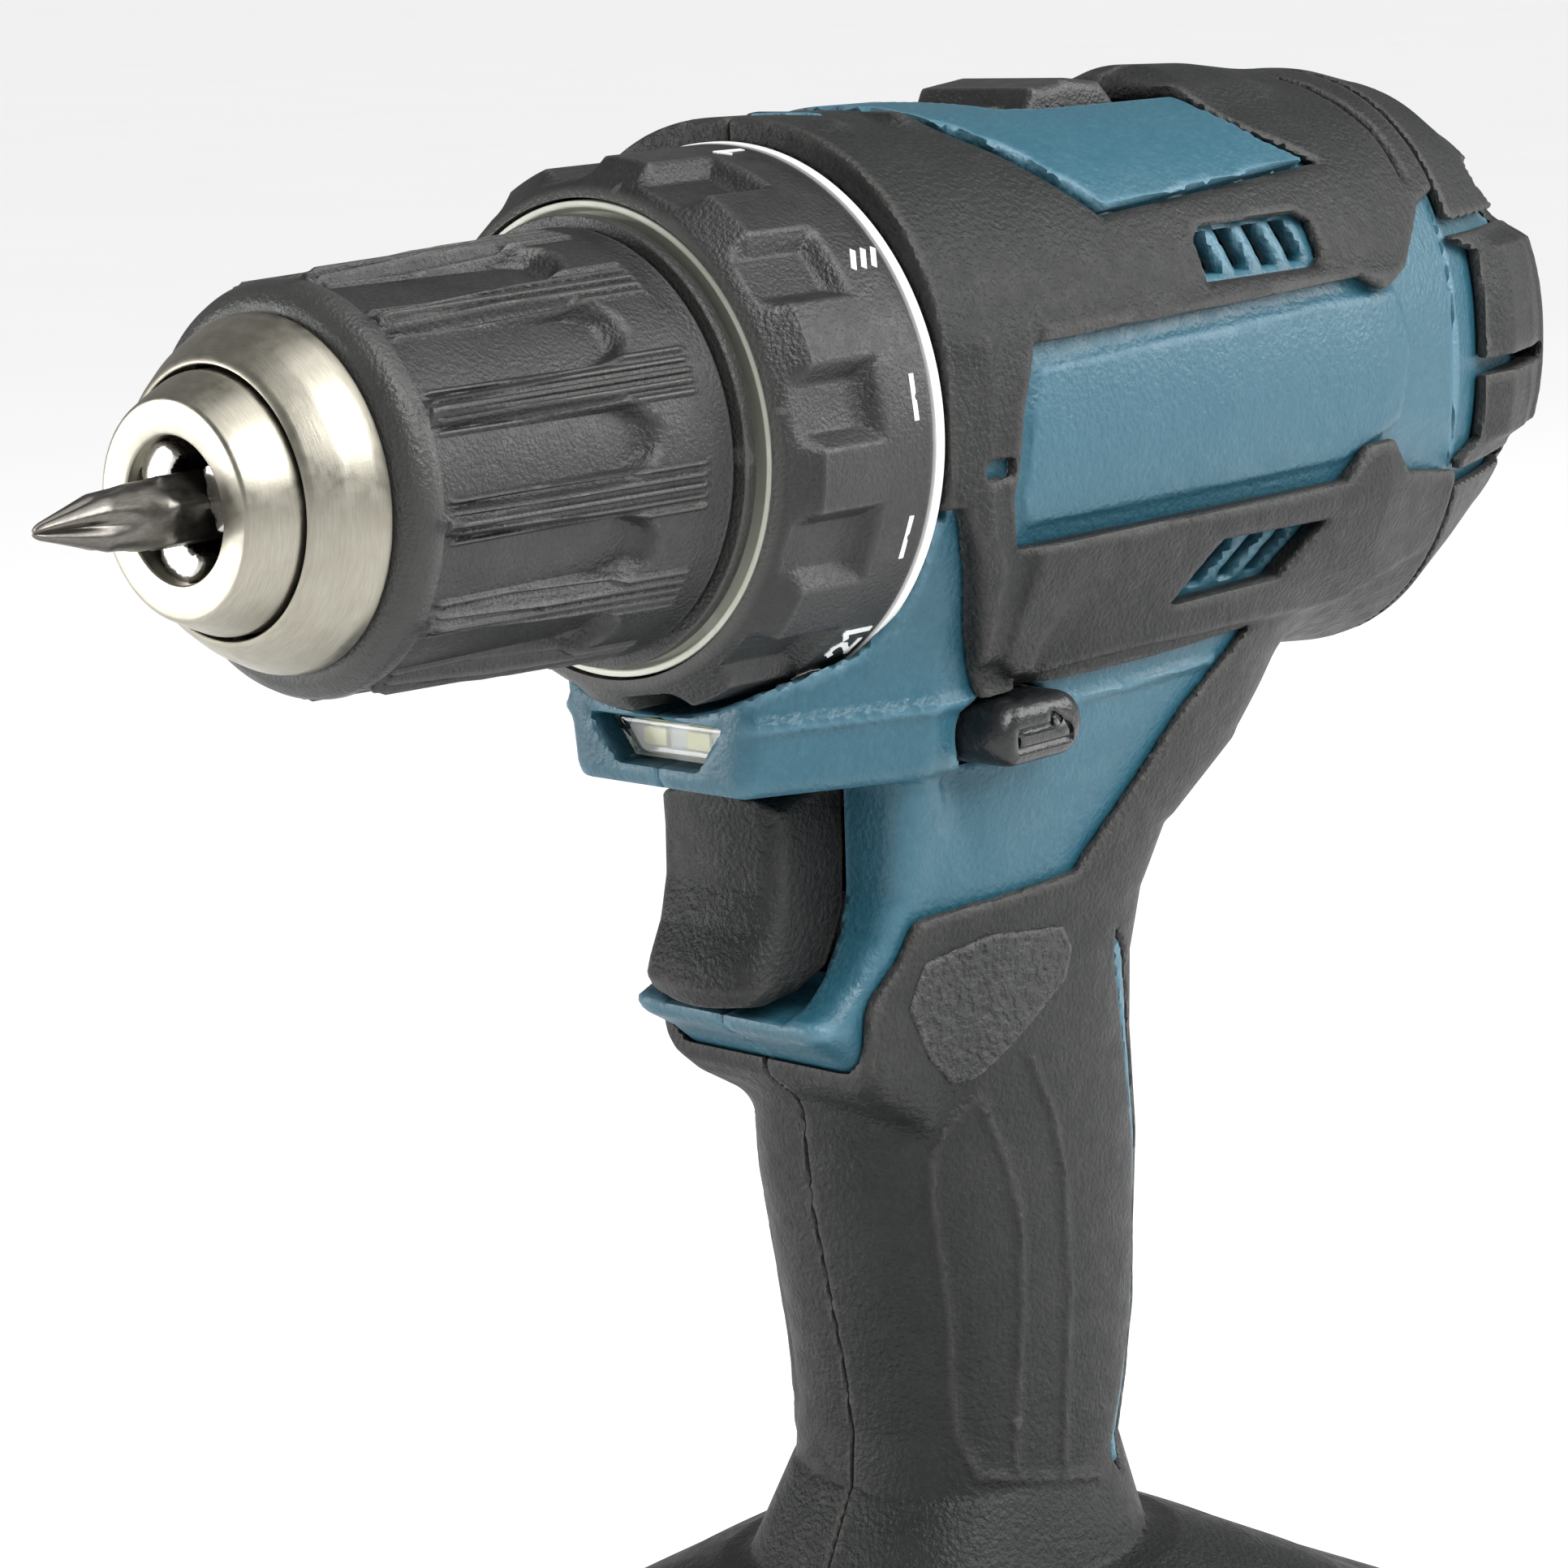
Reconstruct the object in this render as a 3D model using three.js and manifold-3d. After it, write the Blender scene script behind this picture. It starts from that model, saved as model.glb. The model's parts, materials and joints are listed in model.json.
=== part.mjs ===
// Cordless drill: a keyless-chuck drill driver with a two-stage planetary gearbox and a slide-on battery.
//
// Every shape is written in the spindle frame: X runs forward along the spindle and is zero at the
// chuck's front face, Y points to the tool's left, Z points up and is zero on the spindle's axis.
// The last group moves that frame so that the origin is the middle of the battery's underside.
import * as THREE from 'three';
import { mergeVertices } from 'three/addons/utils/BufferGeometryUtils.js';
import Module from 'manifold-3d';

const wasm = await Module();
wasm.setup();

// ---- Driving dimensions, in millimetres ----
const SPINDLE_HEIGHT = 215.5;
const CHUCK_TO_BATTERY_CENTRE = 117.5;
const GAP = 0.3;

const WALL = 2.5;
const GRIP_COAT = 1.5;
const HOUSING_FRONT = -75;
const HOUSING_REAR = -168;
const COVER_FRONT = HOUSING_REAR - GAP;
const TOOL_REAR = -198;

const COLLAR_NECK_RADIUS = 24.8;
const GEAR_CASE_RADIUS = 22.6;
const MOTOR_RADIUS = 18;
const SPINDLE_RADIUS = 6;

const NOSE_BORE = 6.84;
const JAW_ANGLES = [75, 195, 315];
const JAW_TILT = 15;
const JAW_RADIUS = 3.2;
const JAW_LENGTH = 28;
const BIT_ACROSS_FLATS = 6.35;

const MODULE = 0.8;
const SUN_TEETH = 12;
const PLANET_TEETH = 18;
const RING_TEETH = 48;
const PLANET_ORBIT = (MODULE * (SUN_TEETH + PLANET_TEETH)) / 2;
const PLANET_ANGLES = [0, 120, 240];
const OUTPUT_STAGE = [-87.6, -80];
const INPUT_STAGE = [-97.6, -91.2];

const COLLAR_POCKETS = 12;

const BATTERY_LENGTH = 115;
const BATTERY_WIDTH = 75;
const BATTERY_FRONT = -CHUCK_TO_BATTERY_CENTRE + BATTERY_LENGTH / 2;
const BATTERY_REAR = BATTERY_FRONT - BATTERY_LENGTH;
const BATTERY_TOP = -162.4;
const BATTERY_BOTTOM = -SPINDLE_HEIGHT;

// ---- Looks ----
const TEAL = { color: 0x2f7f9c, roughness: 0.5, metalness: 0 };
const SOFT_BLACK = { color: 0x2b2c2b, roughness: 0.75, metalness: 0 };
const HARD_BLACK = { color: 0x1e1f1f, roughness: 0.5, metalness: 0 };
const SATIN_NICKEL = { color: 0xb4b1a2, roughness: 0.35, metalness: 1 };
const STEEL = { color: 0x8d8b84, roughness: 0.4, metalness: 1 };
const CREAM = { color: 0xd9dbc6, roughness: 0.55, metalness: 0 };
const WHITE = { color: 0xeeeeea, roughness: 0.5, metalness: 0 };
const CLEAR = { color: 0xe8ecea, roughness: 0.1, metalness: 0 };
const BOARD_GREEN = { color: 0x2d5a36, roughness: 0.6, metalness: 0 };
const COPPER = { color: 0xa8643a, roughness: 0.45, metalness: 1 };
const MAGNET_GREY = { color: 0x45464a, roughness: 0.8, metalness: 0.2 };
const CELL_GREEN = { color: 0x3c7a6a, roughness: 0.5, metalness: 0 };

// ---- Solids ----

// The closed solid of a geometry: shared corners are merged, triangles without area are dropped and
// the faces are turned outwards.
function solid(geometry) {
  const bare = geometry.clone();
  bare.deleteAttribute('normal');
  bare.deleteAttribute('uv');
  const merged = mergeVertices(bare, 1e-4);
  const corners = merged.attributes.position.array;
  const source = merged.index.array;
  const triangles = [];
  let volume = 0;
  for (let i = 0; i < source.length; i += 3) {
    const [a, b, c] = [source[i], source[i + 1], source[i + 2]];
    if (a === b || b === c || c === a) continue;
    triangles.push(a, b, c);
    const p = new THREE.Vector3().fromArray(corners, 3 * a);
    const q = new THREE.Vector3().fromArray(corners, 3 * b);
    const r = new THREE.Vector3().fromArray(corners, 3 * c);
    volume += p.dot(q.cross(r));
  }
  if (volume < 0) triangles.reverse();
  return new wasm.Manifold(new wasm.Mesh({
    numProp: 3,
    vertProperties: new Float32Array(corners),
    triVerts: new Uint32Array(triangles),
  }));
}

function geometryOf(body) {
  const result = body.getMesh();
  const geometry = new THREE.BufferGeometry();
  geometry.setAttribute('position', new THREE.BufferAttribute(result.vertProperties.slice(), 3));
  geometry.setIndex(new THREE.BufferAttribute(result.triVerts.slice(), 1));
  geometry.computeVertexNormals();
  return geometry;
}

function joined(bodies) {
  return bodies.reduce((sum, body) => sum.add(body));
}

function without(body, cutters) {
  return cutters.reduce((rest, cutter) => rest.subtract(cutter), body);
}

function box(from, to) {
  const size = to.map((value, i) => value - from[i]);
  const geometry = new THREE.BoxGeometry(...size);
  geometry.translate(...to.map((value, i) => (value + from[i]) / 2));
  return solid(geometry);
}

// A box centred on the tool's middle plane, given by its width across the tool.
function middleBox(x, width, z) {
  return box([x[0], -width / 2, z[0]], [x[1], width / 2, z[1]]);
}

const ALONG = {
  x: new THREE.Matrix4().makeBasis(
    new THREE.Vector3(0, 1, 0), new THREE.Vector3(0, 0, 1), new THREE.Vector3(1, 0, 0)),
  y: new THREE.Matrix4().makeBasis(
    new THREE.Vector3(1, 0, 0), new THREE.Vector3(0, 0, 1), new THREE.Vector3(0, -1, 0)),
  z: new THREE.Matrix4(),
};

// A flat outline pushed along an axis between two positions. Outlines are (y, z) along x,
// (x, z) along y and (x, y) along z.
function prism(outline, axis, from, to, holes = []) {
  const shape = new THREE.Shape(outline.map(([u, v]) => new THREE.Vector2(u, v)));
  for (const hole of holes) {
    shape.holes.push(new THREE.Path(hole.map(([u, v]) => new THREE.Vector2(u, v))));
  }
  const geometry = new THREE.ExtrudeGeometry(shape, { depth: to - from, bevelEnabled: false });
  geometry.translate(0, 0, axis === 'y' ? -to : from);
  geometry.applyMatrix4(ALONG[axis]);
  return solid(geometry);
}

function circle(radius, sides, centre = [0, 0], start = 0) {
  return Array.from({ length: sides }, (_, i) => {
    const angle = start + (2 * Math.PI * i) / sides;
    return [centre[0] + radius * Math.cos(angle), centre[1] + radius * Math.sin(angle)];
  });
}

function rod(radius, axis, from, to, centre = [0, 0], sides = 20) {
  return prism(circle(radius, sides, centre), axis, from, to);
}

// A profile of [radius, x] corners turned about the spindle's axis.
function turned(profile, sides = 24) {
  const points = profile.map(([radius, x]) => new THREE.Vector2(radius, x));
  if (profile.some(([radius]) => radius > 0)) points.push(points[0].clone());
  const geometry = new THREE.LatheGeometry(points, sides);
  geometry.rotateZ(-Math.PI / 2);
  return solid(geometry);
}

function tubeAlongSpindle(inner, outer, from, to, sides = 24) {
  return turned([[inner, from], [outer, from], [outer, to], [inner, to]], sides);
}

// A skin through matching closed rings of points, with flat ends.
function loft(rings) {
  const count = rings[0].length;
  const positions = rings.flat().flatMap((point) => point);
  const centreOf = (ring) => [0, 1, 2].map((k) => ring.reduce((sum, p) => sum + p[k], 0) / count);
  positions.push(...centreOf(rings[0]), ...centreOf(rings.at(-1)));
  const first = rings.length * count;
  const last = first + 1;
  const index = [];
  for (let i = 0; i < count; i += 1) {
    const j = (i + 1) % count;
    index.push(first, j, i);
    index.push(last, first - count + i, first - count + j);
    for (let ring = 0; ring < rings.length - 1; ring += 1) {
      const low = ring * count;
      const high = low + count;
      index.push(low + i, low + j, high + j, low + i, high + j, high + i);
    }
  }
  const geometry = new THREE.BufferGeometry();
  geometry.setAttribute('position', new THREE.Float32BufferAttribute(positions, 3));
  geometry.setIndex(index);
  return solid(geometry);
}

// One point of a unit outline: power 2 is an ellipse, and higher powers are squarer.
function squircle(angle, power) {
  const bend = (value) => Math.sign(value) * Math.abs(value) ** (2 / power);
  return [bend(Math.cos(angle)), bend(Math.sin(angle))];
}

function turnedAboutSpindle(body, degrees) {
  return body.rotate([degrees, 0, 0]);
}

// ---- The housing's outer form ----

// Barrel stations: [x, half width, top, bottom]
const BARREL = [
  [HOUSING_FRONT, 27.4, 29.2, -28.5],
  [-86, 28.4, 29.0, -30],
  [-120, 29.2, 28.8, -31],
  [-150, 28.6, 29.0, -34],
  [HOUSING_REAR, 26.3, 29.4, -36],
];
const COVER = [
  [COVER_FRONT, 26.2, 29.2, -36],
  [-178, 23.6, 27.4, -31.5],
  [-188, 20.4, 22.5, -26.5],
  [-194, 17.6, 17.0, -21.5],
  [TOOL_REAR, 14.5, 11.5, -15],
];
const BARREL_POWER = 2.25;

function barrel(stations, grow, count = 16) {
  return loft(stations.map(([x, halfWidth, top, bottom]) => (
    Array.from({ length: count }, (_, i) => {
      const [across, up] = squircle((2 * Math.PI * i) / count, BARREL_POWER);
      return [x, across * (halfWidth + grow), up * (up > 0 ? top + grow : grow - bottom)];
    })
  )));
}

// Handle stations: [z, front x, rear x, half width, squareness]
const HANDLE = [
  [-12, -77, -160, 22.5, 2.4],
  [-28.8, -77, -154, 22.5, 2.4],
  [-28.9, -60.5, -154, 22.5, 2.2],
  [-36.3, -60.5, -146, 21, 2.2],
  [-37.6, -79.5, -144, 20.6, 2.6],
  [-42, -80, -140, 19.6, 2.6],
  [-50, -79.8, -128.5, 17.6, 2.6],
  [-57, -77, -125.5, 16.6, 2.6],
  [-60.8, -73.5, -125, 16.2, 2.6],
  [-64.6, -70, -125, 15.8, 2.5],
  [-68.7, -78, -125.2, 15.5, 2.5],
  [-74, -81.5, -126, 15.3, 2.5],
  [-86.5, -82.8, -126.8, 15.2, 2.5],
  [-106.5, -87, -125, 15, 2.5],
  [-114.5, -88, -123, 15, 2.5],
  [-121, -87.6, -121, 15, 2.5],
  [-132.5, -81.5, -123, 18, 2.8],
  [-136.5, -75.5, -131, 26, 3.4],
  [-141, -68, -139, 33.6, 4.5],
  [-146, -63, -147, 36.8, 6],
  [-150, -61.5, -155.5, 37.8, 7],
  [-155, -61.5, -164, 38, 7],
  [-162, -61.5, -169, 38, 7],
];

function handle(grow, count = 12, stations = HANDLE) {
  return loft(stations.map(([z, front, rear, halfWidth, power]) => {
    const middle = (front + rear) / 2;
    const reach = (front - rear) / 2 + grow;
    return Array.from({ length: count }, (_, i) => {
      const [along, across] = squircle((2 * Math.PI * i) / count, power);
      return [middle + along * reach, across * (halfWidth + grow), z];
    });
  }));
}

// The handle's hollow starts above the trigger guard's lip and ends above the battery's rails.
const HOLLOW_HANDLE = [
  [-12, -80, -155, 22, 2.4],
  [-28, -80, -150, 22, 2.4],
  [-30.5, -64, -147, 20, 2.2],
  [-34.5, -64, -144, 19, 2.2],
  [-39, -79, -139.5, 18.4, 2.6],
  [-50, -79, -128.5, 17.2, 2.6],
  [-58, -80, -125.5, 16.2, 2.6],
  [-68, -82, -125.2, 15.5, 2.6],
  [-106, -87.2, -125, 15, 2.5],
  [-132, -84, -121.5, 17, 2.8],
  [-138, -77, -130, 25, 3.4],
  [-144, -70, -139, 31, 4.5],
  [-147.4, -68, -145, 33, 6],
];

function frontNeck() {
  return rod(COLLAR_NECK_RADIUS, 'x', HOUSING_FRONT - 2, -60, [0, 0], 24);
}

const LAMP_POCKET = [[-9.2, -29.6], [9.2, -29.6], [5.6, -34.4], [-5.6, -34.4]];
const RAIL_SLOT = [[-30.5, -160], [30.5, -160], [30.5, -150.5], [-30.5, -150.5]];
const LEVER_WELL = [-141.5, -100];
const TRIGGER_WIDTH = 17;
const REVERSER = { x: [-98.5, -84.5], z: [-36.6, -29.6] };
const HOUSING_SCREWS = [[-104, -31], [-144, -30], [-88, -72], [-95, -126]];
const COVER_SCREWS = [[15.2, 15.2], [-15.2, 15.2]];
const SCREW_SHANK = 1.6;
const SCREW_HEAD = 3.2;

function vent(x, z, lean) {
  const [halfLength, halfHeight] = [2.1, 3.2];
  return prism([
    [x - halfLength - lean, z - halfHeight], [x + halfLength - lean, z - halfHeight],
    [x + halfLength + lean, z + halfHeight], [x - halfLength + lean, z + halfHeight],
  ], 'y', -40, 40);
}

const VENTS = [0, 1, 2].flatMap((i) => [
  vent(-120 - 7 * i, 15, -1),
  vent(-117.5 - 7 * i, -19.8, 1.6),
]);

function coverScrewHoles(radius, from, to) {
  return COVER_SCREWS.map((centre) => rod(radius, 'x', from, to, centre, 12));
}

// The outer form with every opening cut, before it is split into a left and a right half.
function wholeHousing() {
  const outside = joined([barrel(BARREL, 0), handle(0), frontNeck()]);
  const roomInBarrel = barrel(
    [[-79, ...BARREL[1].slice(1)], ...BARREL.slice(1, -1), [HOUSING_REAR - 1, ...BARREL.at(-1).slice(1)]],
    -WALL, 12);
  const hollow = joined([
    roomInBarrel,
    handle(-WALL, 12, HOLLOW_HANDLE),
    rod(GEAR_CASE_RADIUS + GAP, 'x', -80, -50, [0, 0], 24),
  ]);
  const inner = hollow.intersect(box([-170, -40, -150], [-50, 40, 40]));
  const ribs = joined([
    rib(inner, -92, GEAR_CASE_RADIUS + GAP),
    rib(inner, -112.5, MOTOR_RADIUS + GAP),
    rib(inner, -150.6, MOTOR_RADIUS + GAP),
  ]);
  const bosses = joined([
    ...HOUSING_SCREWS.map((centre) => rod(4.2, 'y', -28, 28, centre, 10)),
    ...coverScrewHoles(3.2, -167, -150),
  ]).intersect(outside);
  const shell = joined([outside.subtract(inner), ribs, bosses]);
  return without(shell, [
    rod(GEAR_CASE_RADIUS + GAP, 'x', -103.5, -50, [0, 0], 24),
    rod(MOTOR_RADIUS + GAP, 'x', HOUSING_REAR - 1, -103, [0, 0], 24),
    prism(LAMP_POCKET, 'x', -67, -55),
    middleBox([-67.2, -64], 22, [-34.8, -29.5]),
    middleBox([-96, -60], TRIGGER_WIDTH + 2 * GAP, [-62, -37.9]),
    prism(RAIL_SLOT, 'x', -153, -50),
    middleBox([-153, -50], 52, [-170, -159]),
    middleBox([-129, -99], 31, [-151, -146]),
    middleBox(LEVER_WELL, 21, [25.6, 40]),
    middleBox([LEVER_WELL[0] + 4, LEVER_WELL[1] - 6], 9, [20, 40]),
    box([REVERSER.x[0] - GAP, -40, REVERSER.z[0] - GAP], [REVERSER.x[1] + GAP, 40, REVERSER.z[1] + GAP]),
    ...HOUSING_SCREWS.map((centre) => rod(SCREW_SHANK + GAP, 'y', -30, 12, centre, 8)),
    ...HOUSING_SCREWS.map((centre) => rod(SCREW_HEAD + GAP, 'y', -40, -12, centre, 12)),
    ...coverScrewHoles(SCREW_SHANK + GAP, HOUSING_REAR - 2, -153),
    ...VENTS,
  ]);
}

// A wall across the inside of the barrel that holds the gearbox or the motor.
function rib(inner, x, radius) {
  const wall = inner.intersect(middleBox([x - 2, x], 80, [-34, 40]));
  return wall.subtract(rod(radius, 'x', x - 3, x + 1, [0, 0], 24));
}

function half(body, side) {
  const from = side > 0 ? 0.1 : -60;
  const to = side > 0 ? 60 : -0.1;
  return body.intersect(box([-220, from, -230], [30, to, 60]));
}

// ---- The rubber coat on the housing ----

// Side views of the areas left bare: the side panel, the top panel and the web above the grip.
const SIDE_PANEL = [
  [-88, 7.4], [-85.6, 1], [-84.4, -8], [-86, -13.2], [-133, -13.2], [-147, -11.6],
  [-152, -2], [-152, 7], [-137, 9.4],
];
const REAR_BAND = [[-158, 18], [-170, 20], [-170, -17], [-158, -15], [-155, 0]];
const WEB_PANEL = [
  [-50, -12], [-77, -12], [-82, -20], [-86, -29.6], [-132, -28.6], [-121, -36], [-112, -46], [-106, -52],
  [-78, -52.6], [-75, -57], [-70, -66.5], [-50, -66.5],
];

function bareAreas() {
  return joined([
    prism(SIDE_PANEL, 'y', -50, 50),
    prism(REAR_BAND, 'y', -50, 50),
    prism(WEB_PANEL, 'y', -50, 50),
    middleBox([-146, -91], 36, [18, 50]),
  ]);
}

function wholeCoat() {
  const skin = joined([barrel(BARREL, GRIP_COAT + GAP), handle(GRIP_COAT)]);
  const hump = barrel([
    [-136, 17, 33.2, -10], [-150, 18, 32.8, -10], [HOUSING_REAR, 16, 30.6, -10],
  ], 0, 24);
  const under = joined([barrel(BARREL, GAP), handle(GAP)]);
  return without(joined([skin, hump]), [
    under,
    bareAreas(),
    box([HOUSING_FRONT - 0.4, -60, -60], [-40, 60, 60]),
    middleBox([-100, -60], TRIGGER_WIDTH + 2 * GAP, [-64, -37]),
    prism(RAIL_SLOT, 'x', -153, -50),
    middleBox([-153, -50], 52, [-170, -159]),
    middleBox([-200, -50], 90, [-170, -161.9]),
    box([-220, -60, -60], [HOUSING_REAR, 60, 60]),
    ...HOUSING_SCREWS.map((centre) => rod(SCREW_HEAD + 2 * GAP, 'y', -60, -10, centre, 12)),
    ...VENTS,
  ]);
}

// ---- Rear cover ----

function rearCover() {
  const room = barrel([
    [COVER_FRONT + 1, ...COVER[0].slice(1)], ...COVER.slice(1, 3), [-192, 16.5, 16, -20],
  ], -WALL, 24);
  const bosses = joined(coverScrewHoles(3.4, -190, COVER_FRONT)).intersect(barrel(COVER, 0));
  return without(joined([barrel(COVER, 0).subtract(room), bosses]), [
    ...coverScrewHoles(SCREW_SHANK + GAP, -200, -160),
    ...coverScrewHoles(SCREW_HEAD + GAP, -200, -173.4),
  ]);
}

function rearBumper() {
  const skin = barrel(COVER, GRIP_COAT + GAP).subtract(barrel(COVER, GAP));
  return without(skin.intersect(box([TOOL_REAR, -60, -60], [-174, 60, 60])), [
    ...coverScrewHoles(SCREW_HEAD + 2 * GAP, -200, -170),
    middleBox([-193, -170], 80, [13, 15.5]),
    middleBox([-193, -170], 80, [-17.5, -15]),
  ]);
}

// ---- Chuck ----

// A rod along a jaw's slanted axis. The axis is JAW_OFFSET from the spindle's axis at x = -1.
const JAW_OFFSET = 3.7;

function alongJaw(radius, from, to, sides) {
  const body = rod(radius, 'x', from, to, [0, 0], sides);
  return body.rotate([0, JAW_TILT, 0]).translate([-1, 0, JAW_OFFSET]);
}

// Jaws are drawn above the axis and turned: an angle counts from the top towards the tool's left.
function atJaw(body, angle) {
  return turnedAboutSpindle(body, -angle);
}

function jaw() {
  const blank = alongJaw(JAW_RADIUS, -JAW_LENGTH, -1, 12);
  const gripFace = BIT_ACROSS_FLATS / 2 + 0.1;
  return without(blank, [
    box([-60, -10, -20], [10, 10, gripFace]),
    box([-1.5, -10, -20], [10, 10, 20]),
  ]);
}

function chuckBody() {
  const blank = turned([
    [NOSE_BORE, 0], [10.25, 0], [12.3, -4.4], [12.3, -14], [14.5, -14.6], [14.5, -29], [11.5, -30],
    [11.5, -51.4], [SPINDLE_RADIUS + GAP, -51.4], [SPINDLE_RADIUS + GAP, -34], [NOSE_BORE, -33],
  ]);
  const bores = JAW_ANGLES.map((angle) => atJaw(alongJaw(JAW_RADIUS + GAP, -55, 6, 12), angle));
  return without(blank, bores);
}

function chuckHood() {
  return turned([
    [12.75, -4.7], [13.59, -5.1], [16.98, -11.6], [15.9, -11.7], [14.9, -10.6], [12.75, -6.2],
  ]);
}

function chuckSleeve() {
  const blank = turned([
    [15.2, -12], [17.3, -11.9], [19.3, -13.6], [20.3, -16], [21.3, -49.6], [21.5, -51.5],
    [18.2, -51.5], [18.2, -19.5], [15.2, -19.5],
  ]);
  const flutes = Array.from({ length: 12 }, (_, i) => (
    turnedAboutSpindle(box([-42, -3, 20.1], [-16, 3, 24]), -(30 * i + 21))
  ));
  return without(blank, flutes);
}

function driverBit() {
  const corner = BIT_ACROSS_FLATS / Math.sqrt(3);
  const hexagon = circle(corner, 6, [0, 0], THREE.MathUtils.degToRad(90 - JAW_ANGLES[0] + 30));
  const shank = prism(hexagon, 'x', -34, 2.4);
  const neck = turned([[0, 2], [3.2, 2], [3.1, 9], [1.1, 15.2], [0.5, 15.9], [0, 15.9]], 12);
  const flutes = [45, 135, 225, 315].map((angle) => turnedAboutSpindle(
    rod(1.5, 'x', 0, 20, [0, 0], 8).rotate([0, 12, 0]).translate([4, 0, 4]), angle));
  return without(joined([shank, neck]), flutes);
}

// ---- Gears ----

// Outline of a spur gear whose teeth stand on the first circle and end on the second.
function gearOutline(teeth, footRadius, tipRadius, turn) {
  const pitch = (2 * Math.PI) / teeth;
  const footHalf = 0.25 * pitch;
  const tipHalf = 0.11 * pitch;
  const outline = [];
  for (let i = 0; i < teeth; i += 1) {
    const middle = turn + i * pitch;
    for (const [radius, offset] of [
      [footRadius, -footHalf], [tipRadius, -tipHalf], [tipRadius, tipHalf], [footRadius, footHalf],
    ]) {
      outline.push([radius * Math.cos(middle + offset), radius * Math.sin(middle + offset)]);
    }
  }
  return outline;
}

function outsideGear(teeth, bore, span, turn = 0) {
  const pitchRadius = (MODULE * teeth) / 2;
  const outline = gearOutline(teeth, pitchRadius - 1.25 * MODULE, pitchRadius + 0.9 * MODULE, turn);
  const holes = bore > 0 ? [circle(bore, 8)] : [];
  return prism(outline, 'x', span[0], span[1], holes);
}

function ringGear(outerRadius, span) {
  const pitchRadius = (MODULE * RING_TEETH) / 2;
  const teeth = gearOutline(RING_TEETH, pitchRadius + 1.1 * MODULE, pitchRadius - 0.9 * MODULE, 0);
  return prism(circle(outerRadius, 24), 'x', span[0], span[1], [teeth]);
}

// Planet gears sit with a tooth gap towards the sun, at angles counted from +Y.
function planetGear(span) {
  const halfTooth = Math.PI / PLANET_TEETH;
  return outsideGear(PLANET_TEETH, 2.5, span, halfTooth);
}

function planetPins(from, to) {
  return PLANET_ANGLES.map((angle) => {
    const radians = THREE.MathUtils.degToRad(angle);
    const centre = [PLANET_ORBIT * Math.cos(radians), PLANET_ORBIT * Math.sin(radians)];
    return rod(2.2, 'x', from, to, centre, 8);
  });
}

function spindle() {
  return joined([
    rod(SPINDLE_RADIUS, 'x', -79.2, -38.4, [0, 0], 20),
    rod(15.5, 'x', -79.2, -76.6, [0, 0], 24),
    ...planetPins(-88, -79),
  ]);
}

function inputCarrier() {
  return joined([
    outsideGear(SUN_TEETH, 0, [-88.8, -80]),
    rod(15.5, 'x', -90.6, -88.6, [0, 0], 24),
    ...planetPins(-98, -90.4),
  ]);
}

// ---- Clutch, gear case and speed change ----

function gearCase() {
  const cup = turned([
    [12.6, -58], [15.2, -58], [15.2, -72.6], [GEAR_CASE_RADIUS, -73.2], [GEAR_CASE_RADIUS, -103],
    [20.8, -103], [20.8, -76], [12.6, -75.4],
  ]);
  return without(cup, [middleBox([-92, -79], 4, [15, 30])]);
}

function clutchSpring() {
  const [turns, radius, from, to] = [4, 18.6, -71.4, -60.6];
  class Helix extends THREE.Curve {
    getPoint(t, target = new THREE.Vector3()) {
      const angle = 2 * Math.PI * turns * t;
      return target.set(from + (to - from) * t, radius * Math.cos(angle), radius * Math.sin(angle));
    }
  }
  const wire = new THREE.Shape(circle(0.9, 5).map(([u, v]) => new THREE.Vector2(u, v)));
  const along = { steps: 11 * turns, extrudePath: new Helix(), bevelEnabled: false };
  return solid(new THREE.ExtrudeGeometry(wire, along));
}

function clutchNut() {
  return turned([
    [15.6, -55.4], [22.8, -55.4], [23.2, -54], [23.9, -54], [23.9, -58.4], [15.6, -58.4],
  ]);
}

function torqueCollar() {
  const blank = turned([
    [24.2, -53.8], [25.4, -54.4], [28, -57.4], [28.2, -73], [25.1, -73], [25.1, -55.6], [24.2, -55.2],
  ], 48);
  const pocket = prism([[-50, 26.2], [-65.6, 26.4], [-67.6, 30], [-50, 30]], 'y', -3.8, 3.8);
  const pockets = Array.from({ length: COLLAR_POCKETS }, (_, i) => (
    turnedAboutSpindle(pocket, -(i * 360) / COLLAR_POCKETS - 21)
  ));
  return without(blank, pockets);
}

function shiftRing() {
  const finger = middleBox([-84.6, -81.6], 3.2, [19.8, 24.4]);
  return ringGear(20.4, [-86.8, -79.8]).add(finger);
}

function speedLever() {
  return joined([
    middleBox([-134.6, -101.6], 20, [26.4, 27.6]),
    prism([[-127.5, 27], [-128.5, 29], [-126, 31.2], [-114.5, 31.2], [-112.4, 27]], 'y', -8.6, 8.6),
    ...[0, 1, 2].map((i) => middleBox([-108.6 - 1.5 * i, -107.7 - 1.5 * i], 16 - 3 * i, [27, 28.4])),
  ]);
}

// ---- Motor ----

function motorCan() {
  return turned([
    [6, -103.6], [MOTOR_RADIUS, -103.6], [MOTOR_RADIUS, -157], [16.4, -157], [16.4, -105.2], [6, -105.2],
  ]);
}

function magnet(side) {
  const span = THREE.MathUtils.degToRad(65);
  const arc = (radius, sign) => Array.from({ length: 9 }, (_, i) => {
    const angle = sign * (span - (i * span) / 4);
    return [radius * Math.sin(angle) * side, radius * Math.cos(angle) * side];
  });
  return prism([...arc(16.1, 1), ...arc(13, -1)], 'x', -145, -112).rotate([90, 0, 0]);
}

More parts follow.
